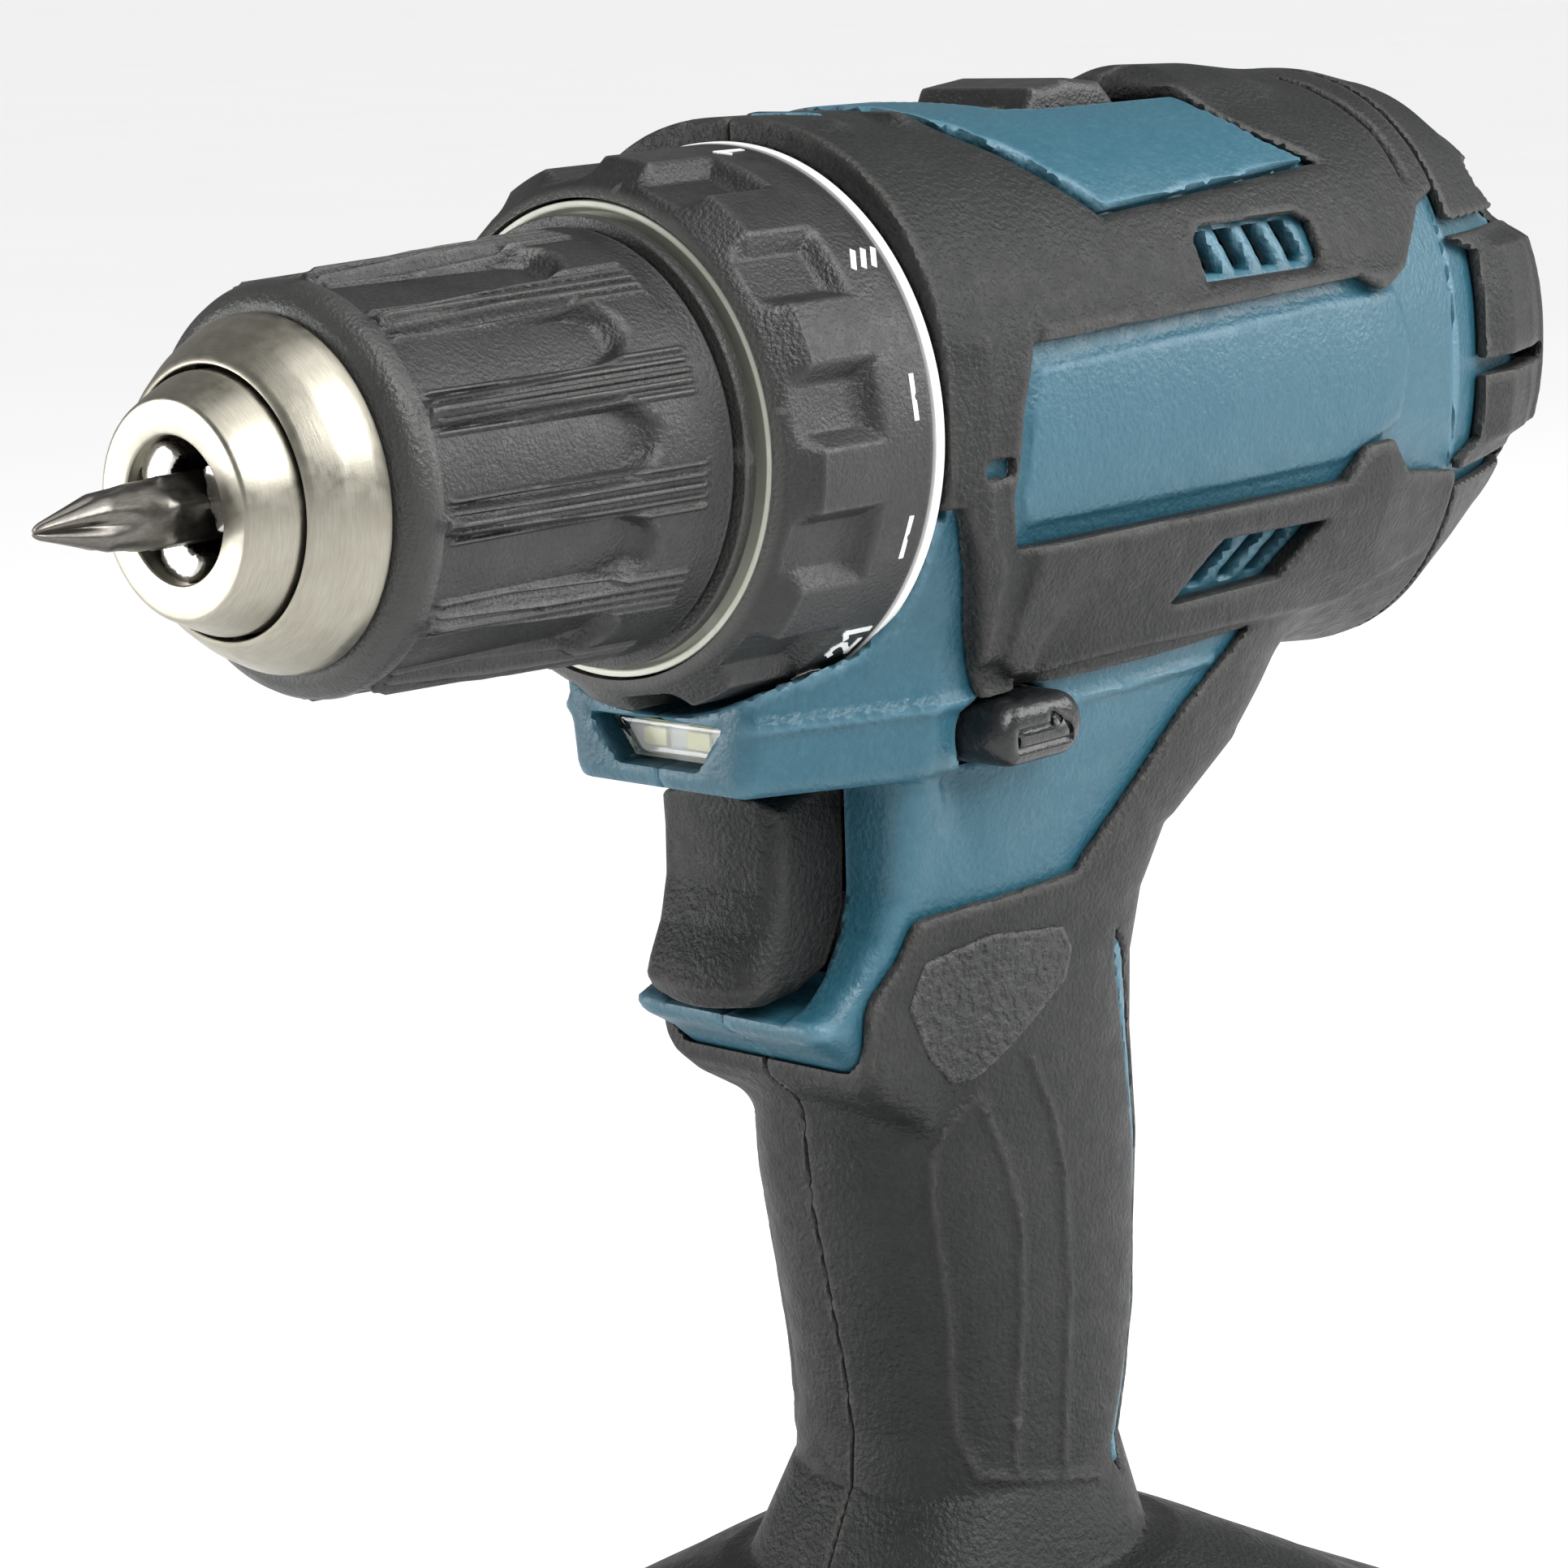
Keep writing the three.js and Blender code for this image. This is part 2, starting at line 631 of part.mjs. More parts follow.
function armature() {
  const slots = Array.from({ length: 5 }, (_, i) => turnedAboutSpindle(
    middleBox([-150, -100], 2.4, [7, 14]), 72 * i));
  const core = without(rod(12.4, 'x', -144, -113, [0, 0], 20), slots);
  return joined([
    core,
    rod(2.4, 'x', -166, -91.5, [0, 0], 10),
    rod(5.6, 'x', -160, -150, [0, 0], 12),
    rod(8.6, 'x', -147.5, -143.5, [0, 0], 12),
  ]);
}

function fan() {
  const blades = Array.from({ length: 6 }, (_, i) => turnedAboutSpindle(
    box([-111.4, -0.6, 4], [-107, 0.6, 14.4]), 60 * i));
  return joined([
    tubeAlongSpindle(2.7, 5, -111.4, -106.4, 12),
    tubeAlongSpindle(4.8, 14.6, -111.6, -110.6),
    ...blades,
  ]);
}

function brushHolder() {
  const plate = turned([
    [4.6, -162.4], [17.4, -162.4], [17.4, -157.4], [15.8, -157.4], [15.8, -161], [4.6, -161],
  ]);
  return without(plate, [7, -7].map((y) => box([-164, y - 2.2, 6], [-158, y + 2.2, 12])));
}

function brush(side) {
  const block = box([-159, 5.95, -2.4], [-152.5, 14.95, 2.4]);
  return block.rotate([side > 0 ? 0 : 180, 0, 0]);
}

// ---- Trigger, switches and wiring ----

const TRIGGER_SIDE = [
  [-67.2, -37.9], [-67.5, -43], [-67.3, -48], [-66, -52.4], [-64.2, -56], [-63.3, -58.6],
  [-64.6, -60.8], [-68.3, -61.6], [-72.5, -60.4], [-76.1, -57.7], [-79, -52.2], [-79.4, -46],
  [-79.4, -38.3], [-72, -38.2],
];

function trigger() {
  const plunger = middleBox([-91, -78], 8, [-52, -44]);
  return prism(TRIGGER_SIDE, 'y', -TRIGGER_WIDTH / 2, TRIGGER_WIDTH / 2).add(plunger);
}

function switchBody() {
  return without(middleBox([-116, -88.2], 18.6, [-64, -39.5]), [
    middleBox([-101, -80], 8 + 2 * GAP, [-52 - GAP, -44 + GAP]),
  ]);
}

function reverser() {
  const { x, z } = REVERSER;
  const middle = (z[0] + z[1]) / 2;
  const radius = (z[1] - z[0]) / 2;
  const end = (centre, from) => Array.from({ length: 7 }, (_, i) => {
    const angle = from + (Math.PI * i) / 6;
    return [centre + radius * Math.cos(angle), middle + radius * Math.sin(angle)];
  });
  const outline = [...end(x[1] - radius, -Math.PI / 2), ...end(x[0] + radius, Math.PI / 2)];
  return prism(outline, 'y', -21.4, 26.4);
}

function lampLens() {
  const room = 0.35;
  const outline = LAMP_POCKET.map(([y, z]) => [y * (1 - room / 9), z > -32 ? z - room : z + room]);
  return prism(outline, 'x', -65, -62.6);
}

function lampBoard() {
  return joined([
    middleBox([-66.8, -65.6], 15, [-34.2, -30.4]),
    ...[-4, 2].map((y) => box([-65.7, y - 1.6, -33.2], [-65.3, y + 1.6, -31.4])),
  ]);
}

function wires() {
  const route = new THREE.CatmullRomCurve3([
    new THREE.Vector3(-108, 0, -64.4),
    new THREE.Vector3(-108, 0, -75),
    new THREE.Vector3(-109, 0, -105),
    new THREE.Vector3(-108, 0, -125),
    new THREE.Vector3(-110, 0, -139.4),
  ]);
  const section = new THREE.Shape(circle(2.2, 8).map(([u, v]) => new THREE.Vector2(u, v)));
  const along = { steps: 14, extrudePath: route, bevelEnabled: false };
  return solid(new THREE.ExtrudeGeometry(section, along));
}

function terminalBlock() {
  const blades = [-9, 0, 9].map((y) => box([-127, y - 0.5, -150], [-101, y + 0.5, -145]));
  return joined([middleBox([-128, -100], 30, [-145.6, -139.8]), ...blades]);
}

// ---- Screws ----

// A cross-head screw along +Y, with its head's outer face at the origin.
function screw(length) {
  const shank = rod(SCREW_SHANK, 'y', 0, length, [0, 0], 8);
  const head = rod(SCREW_HEAD, 'y', 0, 2, [0, 0], 12);
  return without(joined([head, shank]), [
    box([-2, -1, -0.4], [2, 0.9, 0.4]),
    box([-0.4, -1, -2], [0.4, 0.9, 2]),
  ]);
}

// ---- Battery ----

const LATCH_POCKET = [[-67, -59], 28, [-182, -160]];

function batteryOutline(grow) {
  const [length, width, corner] = [BATTERY_LENGTH / 2 + grow, BATTERY_WIDTH / 2 + grow, 6 + grow];
  return [
    [length - corner, -width], [length, corner - width],
    [length, width - corner], [length - corner, width],
    [corner - length, width], [-length, width - corner],
    [-length, corner - width], [corner - length, -width],
  ].map(([x, y]) => [x - CHUCK_TO_BATTERY_CENTRE, y]);
}

function batteryCase() {
  const outside = joined([
    prism(batteryOutline(0), 'z', BATTERY_BOTTOM + 3, -172),
    loft([batteryOutline(-2.5), batteryOutline(0)].map((ring, i) => (
      ring.map(([x, y]) => [x, y, BATTERY_BOTTOM + 3.01 * i])))),
  ]);
  return without(outside, [
    prism(batteryOutline(-WALL), 'z', BATTERY_BOTTOM + WALL, -160),
    middleBox(...LATCH_POCKET),
  ]);
}

function batteryCover() {
  const rails = joined([
    prism(batteryOutline(0), 'z', -171.7, BATTERY_TOP),
    middleBox([-151, -62], 51, [-163, -156]),
    middleBox([-151, -62], 60, [-159.4, -151.6]),
  ]);
  const slots = [-9, 0, 9].map((y) => box([-130, y - 1.2, -157], [-50, y + 1.2, -150]));
  return without(rails, [
    prism(batteryOutline(-WALL), 'z', -180, -166),
    middleBox(...LATCH_POCKET),
    ...slots,
  ]);
}

function cellPack() {
  const centres = [-183.6, -203.2].flatMap((z) => [0, 1, 2, 3, 4].map((i) => [-79 - 19.4 * i, z]));
  const cells = centres.map((centre) => rod(9.2, 'y', -32.5, 32.5, centre, 8));
  const holder = middleBox([-166, -72], 50, [-211, -176]);
  return joined([...cells, holder]);
}

function batteryLatch() {
  return joined([
    middleBox([-64.4, -59.4], 27, [-177, -166]),
    middleBox([-64.4, -62], 20, [-167, -161.2]),
  ]);
}

// ---- The assembly ----

const drill = new THREE.Group();
drill.position.set(CHUCK_TO_BATTERY_CENTRE, 0, SPINDLE_HEIGHT);

function addPart(name, body, look, place = {}) {
  const part = new THREE.Mesh(geometryOf(body), new THREE.MeshStandardMaterial(look));
  part.name = name;
  if (place.position) part.position.set(...place.position);
  if (place.rotation) part.rotation.set(...place.rotation);
  drill.add(part);
}

const housing = wholeHousing();
const coat = wholeCoat();
for (const [name, side] of [['left', 1], ['right', -1]]) {
  addPart(`housing_${name}`, half(housing, side), TEAL);
  addPart(`grip_coat_${name}`, half(coat, side), SOFT_BLACK);
  addPart(`brush_${name}`, brush(side), COPPER);
  addPart(`magnet_${name}`, magnet(side), MAGNET_GREY);
}
addPart('rear_cover', rearCover(), TEAL);
addPart('rear_bumper', rearBumper(), SOFT_BLACK);
addPart('lamp_lens', lampLens(), CLEAR);
addPart('lamp_board', lampBoard(), BOARD_GREEN);

addPart('gear_case', gearCase(), HARD_BLACK);
addPart('input_ring_gear', ringGear(20.4, [-98.8, -91.5]), STEEL);
addPart('shift_ring_gear', shiftRing(), STEEL);
addPart('spindle_bearing', tubeAlongSpindle(SPINDLE_RADIUS + GAP, 12.3, -66, -60), STEEL);
addPart('spindle', spindle(), STEEL);
addPart('input_carrier', inputCarrier(), STEEL);
PLANET_ANGLES.forEach((angle, i) => {
  const radians = THREE.MathUtils.degToRad(angle);
  const place = {
    position: [0, PLANET_ORBIT * Math.cos(radians), PLANET_ORBIT * Math.sin(radians)],
    rotation: [radians, 0, 0],
  };
  addPart(`output_planet_${i + 1}`, planetGear(OUTPUT_STAGE), STEEL, place);
  addPart(`input_planet_${i + 1}`, planetGear(INPUT_STAGE), STEEL, place);
});
addPart('clutch_spring', clutchSpring(), STEEL);
addPart('clutch_nut', clutchNut(), CREAM);
addPart('torque_collar', torqueCollar(), HARD_BLACK);
addPart('index_ring', tubeAlongSpindle(25.2, 28.37, -74.6, -73.3), WHITE);
addPart('speed_lever', speedLever(), HARD_BLACK);

addPart('motor_can', motorCan(), STEEL);
addPart('motor_armature', armature(), STEEL);
addPart('motor_pinion', outsideGear(SUN_TEETH, 2.7, [-99.2, -91.5]), STEEL);
addPart('cooling_fan', fan(), HARD_BLACK);
addPart('brush_holder', brushHolder(), HARD_BLACK);

addPart('chuck_body', chuckBody(), SATIN_NICKEL);
addPart('chuck_rear_ring', tubeAlongSpindle(11.8, 22.7, -53.4, -51.8), HARD_BLACK);
addPart('chuck_screw', rod(4, 'x', -38, -35, [0, 0], 16), STEEL);
addPart('chuck_hood', chuckHood(), SATIN_NICKEL);
addPart('chuck_sleeve', chuckSleeve(), HARD_BLACK);
addPart('chuck_nut', tubeAlongSpindle(15, 17.9, -27, -20), STEEL);
JAW_ANGLES.forEach((angle, i) => addPart(`chuck_jaw_${i + 1}`, atJaw(jaw(), angle), STEEL));
addPart('driver_bit', driverBit(), STEEL);

addPart('trigger', trigger(), SOFT_BLACK);
addPart('switch_body', switchBody(), HARD_BLACK);
addPart('reverser_bar', reverser(), HARD_BLACK);
addPart('battery_wires', wires(), SOFT_BLACK);
addPart('terminal_block', terminalBlock(), HARD_BLACK);

HOUSING_SCREWS.forEach(([x, z], i) => {
  addPart(`housing_screw_${i + 1}`, screw(21), STEEL, { position: [x, -14, z] });
});
COVER_SCREWS.forEach(([y, z], i) => {
  const place = { position: [-175.7, y, z], rotation: [0, 0, -Math.PI / 2] };
  addPart(`cover_screw_${i + 1}`, screw(19), STEEL, place);
});

addPart('battery_case', batteryCase(), HARD_BLACK);
addPart('battery_cover', batteryCover(), HARD_BLACK);
addPart('battery_cells', cellPack(), CELL_GREEN);
addPart('battery_latch', batteryLatch(), HARD_BLACK);

export default drill;
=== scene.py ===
import json
import math

import bpy
import numpy as np
from mathutils import Matrix


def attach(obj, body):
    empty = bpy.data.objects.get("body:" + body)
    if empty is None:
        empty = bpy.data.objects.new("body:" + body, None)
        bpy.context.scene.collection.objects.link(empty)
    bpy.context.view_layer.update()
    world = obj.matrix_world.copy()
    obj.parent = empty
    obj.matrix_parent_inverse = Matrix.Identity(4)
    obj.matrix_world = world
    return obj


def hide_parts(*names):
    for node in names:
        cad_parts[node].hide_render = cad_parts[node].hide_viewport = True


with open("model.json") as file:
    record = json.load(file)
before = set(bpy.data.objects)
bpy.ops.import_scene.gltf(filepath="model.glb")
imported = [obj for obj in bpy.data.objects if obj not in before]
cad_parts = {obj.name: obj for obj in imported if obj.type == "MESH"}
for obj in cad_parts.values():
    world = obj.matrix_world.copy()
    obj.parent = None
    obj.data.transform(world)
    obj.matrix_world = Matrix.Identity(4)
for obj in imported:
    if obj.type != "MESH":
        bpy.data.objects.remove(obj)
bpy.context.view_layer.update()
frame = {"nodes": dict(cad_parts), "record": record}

# Shapes are drawn in millimetres from the spindle: x runs forward from the chuck's front face,
# y to the tool's left, z up. row() turns that into the row frame, in metres.
SPINDLE_FRONT = 117.5
SPINDLE_HEIGHT = 215.5
FINE = 0.67   # grid step of the moulded shapes
SHELL_STEP = 0.8
WALL = 2.5                # of the housing
COAT = 1.6                # thickness of the rubber
HOUSING_FRONT = -75.0
HOUSING_REAR = -168.0
COVER_FRONT = -168.3
FOOT_BOTTOM = -162.0
GEAR_ROOM_RADIUS = 22.9
NECK_RADIUS = 24.8        # the ring of the housing that the torque collar turns on
NECK_FRONT = -60.0
COLLAR_ROOM_RADIUS = 28.9
COLLAR_ROOM_REAR = -75.3
FLANGE_TOP = -9.0         # below this height the body reaches forward past the collar's back
TRIGGER_HALF_ROOM = 8.9
SCREW_WELL_RADIUS = 3.5


def row(points):
    return (np.asarray(points, float) + (SPINDLE_FRONT, 0, SPINDLE_HEIGHT)) * 0.001


# ---- Distances: negative inside a shape ----

def smooth_min(a, b, blend):
    share = np.clip(0.5 + 0.5 * (b - a) / blend, 0, 1)
    return b + (a - b) * share - blend * share * (1 - share)


def smooth_max(a, b, blend):
    return -smooth_min(-a, -b, blend)


def outline_distance(u, v, outline):
    """Distance from points to a closed outline in a plane."""
    nearest = np.float32(1e9)
    inside = False
    for (au, av), (bu, bv) in zip(outline, outline[1:] + outline[:1]):
        eu, ev = bu - au, bv - av
        along = np.clip(((u - au) * eu + (v - av) * ev) / (eu * eu + ev * ev), 0, 1)
        nearest = np.minimum(nearest, (u - au - along * eu) ** 2 + (v - av - along * ev) ** 2)
        if ev:
            inside = inside ^ (((av > v) != (bv > v)) & (u < eu * (v - av) / ev + au))
    return np.where(inside, -1, 1) * np.sqrt(nearest)


def line_distance(u, v, points):
    """Distance from points to an open line in a plane."""
    nearest = np.float32(1e9)
    for (au, av), (bu, bv) in zip(points, points[1:]):
        eu, ev = bu - au, bv - av
        along = np.clip(((u - au) * eu + (v - av) * ev) / (eu * eu + ev * ev), 0, 1)
        nearest = np.minimum(nearest, (u - au - along * eu) ** 2 + (v - av - along * ev) ** 2)
    return np.sqrt(nearest)


def box_distance(x, y, z, lo, hi, corner=0.0):
    """A box with rounded edges."""
    parts = []
    for value, a, b in zip((x, y, z), lo, hi):
        parts.append(np.abs(value - (a + b) / 2) - (b - a) / 2 + corner)
    outside = np.sqrt(sum(np.maximum(part, 0) ** 2 for part in parts))
    inside = np.minimum(np.maximum(np.maximum(parts[0], parts[1]), parts[2]), 0)
    return outside + inside - corner


def rod_distance(u, v, centre, radius):
    return np.sqrt((u - centre[0]) ** 2 + (v - centre[1]) ** 2) - radius


def squircle_distance(u, v, half_u, half_v, power):
    """Distance to a rounded rectangle around the origin, measured along the ray."""
    size = (np.abs(u / half_u) ** power + np.abs(v / half_v) ** power) ** (1 / power)
    return (1 - 1 / np.maximum(size, 1e-3)) * np.sqrt(u * u + v * v)


# ---- Meshes from distances ----

CORNERS = [(i, j, k) for i in (0, 1) for j in (0, 1) for k in (0, 1)]
EDGES = [(a, b) for a in CORNERS for b in CORNERS if a < b and sum(np.abs(np.subtract(a, b))) == 1]


def surface_net(shape, lo, hi, step):
    """Points and four-sided faces of the surface where shape(x, y, z) is zero."""
    axes = [np.arange(a, b + step, step, dtype=np.float32) for a, b in zip(lo, hi)]
    x, y, z = np.ix_(*axes)
    values = np.broadcast_to(shape(x, y, z), (len(axes[0]), len(axes[1]), len(axes[2])))
    inside = values < 0
    n = [size - 1 for size in inside.shape]
    count = sum(
        inside[i:n[0] + i, j:n[1] + j, k:n[2] + k].astype(np.uint8) for i, j, k in CORNERS)
    active = (count > 0) & (count < 8)
    cells = np.argwhere(active)
    number = np.full(active.shape, -1, np.int64)
    number[active] = np.arange(len(cells))
    at = {corner: values[tuple((cells + corner).T)] for corner in CORNERS}
    total = np.zeros((len(cells), 3))
    hits = np.zeros(len(cells))
    for a, b in EDGES:
        crossed = (at[a] < 0) != (at[b] < 0)
        gap = np.where(crossed, at[a] - at[b], 1)
        share = np.where(crossed, at[a] / gap, 0)[:, None]
        point = np.array(a) + share * (np.array(b) - np.array(a))
        total += np.where(crossed[:, None], point, 0)
        hits += crossed
    points = np.array(lo) + step * (cells + total / hits[:, None])
    return points, net_faces(inside, number)


def net_faces(inside, number):
    """One face across each grid edge that goes through the surface."""
    faces = []
    for axis in range(3):
        u, v = (axis + 1) % 3, (axis + 2) % 3
        start = np.take(inside, range(inside.shape[axis] - 1), axis)
        stop = np.take(inside, range(1, inside.shape[axis]), axis)
        edges = np.argwhere(start != stop)
        edges = edges[(edges[:, u] > 0) & (edges[:, v] > 0)]
        edges = edges[(edges[:, u] < inside.shape[u] - 1) & (edges[:, v] < inside.shape[v] - 1)]
        corners = []
        for du, dv in ((-1, -1), (0, -1), (0, 0), (-1, 0)):
            cell = edges.copy()
            cell[:, u] += du
            cell[:, v] += dv
            corners.append(number[tuple(cell.T)])
        quads = np.stack(corners, 1)
        leaving = inside[tuple(edges.T)]
        faces.append(np.where(leaving[:, None], quads, quads[:, ::-1]))
    return np.concatenate(faces)


def settle(points, shape, step, rounds=2):
    """Moves the points onto the surface, along its slope."""
    reach = 0.05
    for _ in range(rounds):
        x, y, z = points.T
        value = shape(x, y, z)
        slope = np.stack([
            shape(x + reach, y, z) - value,
            shape(x, y + reach, z) - value,
            shape(x, y, z + reach) - value,
        ], 1) / reach
        move = -value[:, None] * slope / np.maximum((slope ** 2).sum(1), 0.25)[:, None]
        points = points + np.clip(move, -0.4 * step, 0.4 * step)
    return points


def piece(name, points, faces, material, body, replaced=(), sharp=50):
    """A piece of the drill, in the row frame, that rides on a body."""
    mesh = bpy.data.meshes.new(name)
    mesh.from_pydata(row(points).tolist(), [], np.asarray(faces).tolist())
    mesh.polygons.foreach_set("use_smooth", [True] * len(mesh.polygons))
    mesh.set_sharp_from_angle(angle=math.radians(sharp))
    mesh.materials.append(MATERIALS[material])
    obj = bpy.data.objects.new(name, mesh)
    bpy.context.scene.collection.objects.link(obj)
    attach(obj, body)
    if replaced:
        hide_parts(*replaced)
    return obj


def moulded(name, shape, lo, hi, material, body, replaced=(), step=FINE, mirrored=False):
    """A piece whose surface is where shape is zero. mirrored makes the right-hand twin."""
    points, faces = surface_net(shape, lo, hi, step)
    points = settle(points, shape, step)
    if mirrored:
        points = points * (1, -1, 1)
        faces = faces[:, ::-1]
    return piece(name, points, faces, material, body, replaced)


def turned(name, profile, material, body, replaced=(), sides=128, radius_at=None):
    """A closed profile of (radius, x) turned about the spindle. radius_at(radius, x, angle)
    may shape each ring, with the angle in degrees from the top towards the tool's left."""
    angles = np.radians(np.arange(sides) * 360 / sides)
    rings = []
    for radius, x in profile:
        radii = np.full(sides, float(radius))
        if radius_at:
            radii = radius_at(radii, x, np.degrees(angles))
        across, up = radii * np.sin(angles), radii * np.cos(angles)
        rings.append(np.stack([np.full(sides, float(x)), across, up], 1))
    count = len(profile)
    index = np.arange(count * sides).reshape(count, sides)
    following = np.roll(index, -1, 0)
    faces = np.stack([
        index, np.roll(index, -1, 1), np.roll(following, -1, 1), following], -1).reshape(-1, 4)
    return piece(name, np.concatenate(rings), faces, material, body, replaced, sharp=32)


def rounded(profile, size=0.4, steps=3):
    """The closed profile with an arc at each corner."""
    points = [np.array(p, float) for p in profile]
    result = []
    for i, corner in enumerate(points):
        before, after = points[i - 1], points[(i + 1) % len(points)]
        reach = min(size, 0.45 * np.linalg.norm(before - corner), 0.45 * np.linalg.norm(after - corner))
        a = corner + (before - corner) / np.linalg.norm(before - corner) * reach
        b = corner + (after - corner) / np.linalg.norm(after - corner) * reach
        for t in np.linspace(0, 1, steps + 1):
            result.append(tuple((1 - t) ** 2 * a + 2 * t * (1 - t) * corner + t * t * b))
    return result


# ---- Materials ----

class Nodes:
    """Short ways to add shader nodes to a material."""

    def __init__(self, name):
        self.material = bpy.data.materials.new(name)
        self.material.use_nodes = True
        self.tree = self.material.node_tree
        self.shader = self.tree.nodes["Principled BSDF"]
        self.place = self.tree.nodes.new("ShaderNodeTexCoord").outputs["Object"]

    def link(self, source, target):
        self.tree.links.new(source, target)

    def stretched(self, scale):
        node = self.tree.nodes.new("ShaderNodeMapping")
        node.inputs["Scale"].default_value = scale
        self.link(self.place, node.inputs["Vector"])
        return node.outputs["Vector"]

    def noise(self, scale, detail=2.0, vector=None):
        node = self.tree.nodes.new("ShaderNodeTexNoise")
        node.inputs["Scale"].default_value = scale
        node.inputs["Detail"].default_value = detail
        self.link(vector or self.place, node.inputs["Vector"])
        return node.outputs["Fac"]

    def remap(self, value, low, high, out_low, out_high):
        node = self.tree.nodes.new("ShaderNodeMapRange")
        for name, number in (("From Min", low), ("From Max", high),
                             ("To Min", out_low), ("To Max", out_high)):
            node.inputs[name].default_value = number
        self.link(value, node.inputs["Value"])
        return node.outputs["Result"]

    def mix(self, share, first, second):
        node = self.tree.nodes.new("ShaderNodeMix")
        node.data_type = "RGBA"
        node.inputs[0].default_value = 0.0
        self.link(share, node.inputs[0])
        for number, value in ((6, first), (7, second)):
            if isinstance(value, tuple):
                node.inputs[number].default_value = (*value, 1)
            else:
                self.link(value, node.inputs[number])
        return node.outputs[2]

    def bump(self, height, strength, distance, before=None):
        node = self.tree.nodes.new("ShaderNodeBump")
        node.inputs["Strength"].default_value = strength
        node.inputs["Distance"].default_value = distance
        self.link(height, node.inputs["Height"])
        if before:
            self.link(before, node.inputs["Normal"])
        return node.outputs["Normal"]

    def edges(self, low=0.51, high=0.56):
        node = self.tree.nodes.new("ShaderNodeNewGeometry")
        return self.remap(node.outputs["Pointiness"], low, high, 0.0, 1.0)


def plastic(name, colour, worn, roughness, grain=2200.0, relief=0.35, specular=0.5, mottle=0.5,
            depth=0.0002):
    """Moulded plastic or rubber with a fine grain, paler patches and rubbed edges."""
    n = Nodes(name)
    grain_height = n.noise(grain, 3.0)
    patches = n.remap(n.noise(140.0, 4.0), 0.35, 0.7, 0.0, mottle)
    speckle = n.remap(n.noise(grain * 0.7, 1.0), 0.45, 0.75, 0.0, 0.35)
    base = n.mix(patches, colour, tuple(0.75 * c + 0.25 * w for c, w in zip(colour, worn)))
    base = n.mix(speckle, base, tuple(0.7 * c + 0.3 * w for c, w in zip(colour, worn)))
    rubbed = n.remap(n.edges(), 0.0, 1.0, 0.0, 0.7)
    n.link(n.mix(rubbed, base, worn), n.shader.inputs["Base Color"])
    n.link(n.remap(n.noise(420.0, 3.0), 0.3, 0.7, roughness - 0.07, roughness + 0.07),
           n.shader.inputs["Roughness"])
    n.link(n.bump(grain_height, relief, depth), n.shader.inputs["Normal"])
    n.shader.inputs["Specular IOR Level"].default_value = specular
    return n.material


def metal(name, colour, dark, roughness, lines=(9000.0, 500.0, 500.0), relief=0.12):
    """Turned metal with fine lines across the axis, faint stains and a little wear."""
    n = Nodes(name)
    brushed = n.noise(1.0, 3.0, n.stretched(lines))
    stains = n.remap(n.noise(160.0, 5.0), 0.4, 0.75, 0.0, 0.3)
    base = n.mix(stains, colour, dark)
    n.link(n.mix(n.remap(brushed, 0.35, 0.65, 0.0, 0.35), base, dark), n.shader.inputs["Base Color"])
    n.shader.inputs["Metallic"].default_value = 1.0
    n.link(n.remap(n.noise(700.0, 4.0), 0.3, 0.7, roughness - 0.06, roughness + 0.08),
           n.shader.inputs["Roughness"])
    speckled = n.bump(n.noise(5000.0, 2.0), 0.1, 0.00005)
    n.link(n.bump(brushed, relief, 0.00005, speckled), n.shader.inputs["Normal"])
    return n.material


def clear(name):
    n = Nodes(name)
    n.shader.inputs["Base Color"].default_value = (0.94, 0.96, 0.95, 1)
    n.shader.inputs["Transmission Weight"].default_value = 1.0
    n.shader.inputs["IOR"].default_value = 1.49
    n.link(n.remap(n.noise(900.0, 2.0), 0.3, 0.7, 0.03, 0.10), n.shader.inputs["Roughness"])
    n.link(n.bump(n.noise(500.0, 1.0), 0.06, 0.0002), n.shader.inputs["Normal"])
    return n.material


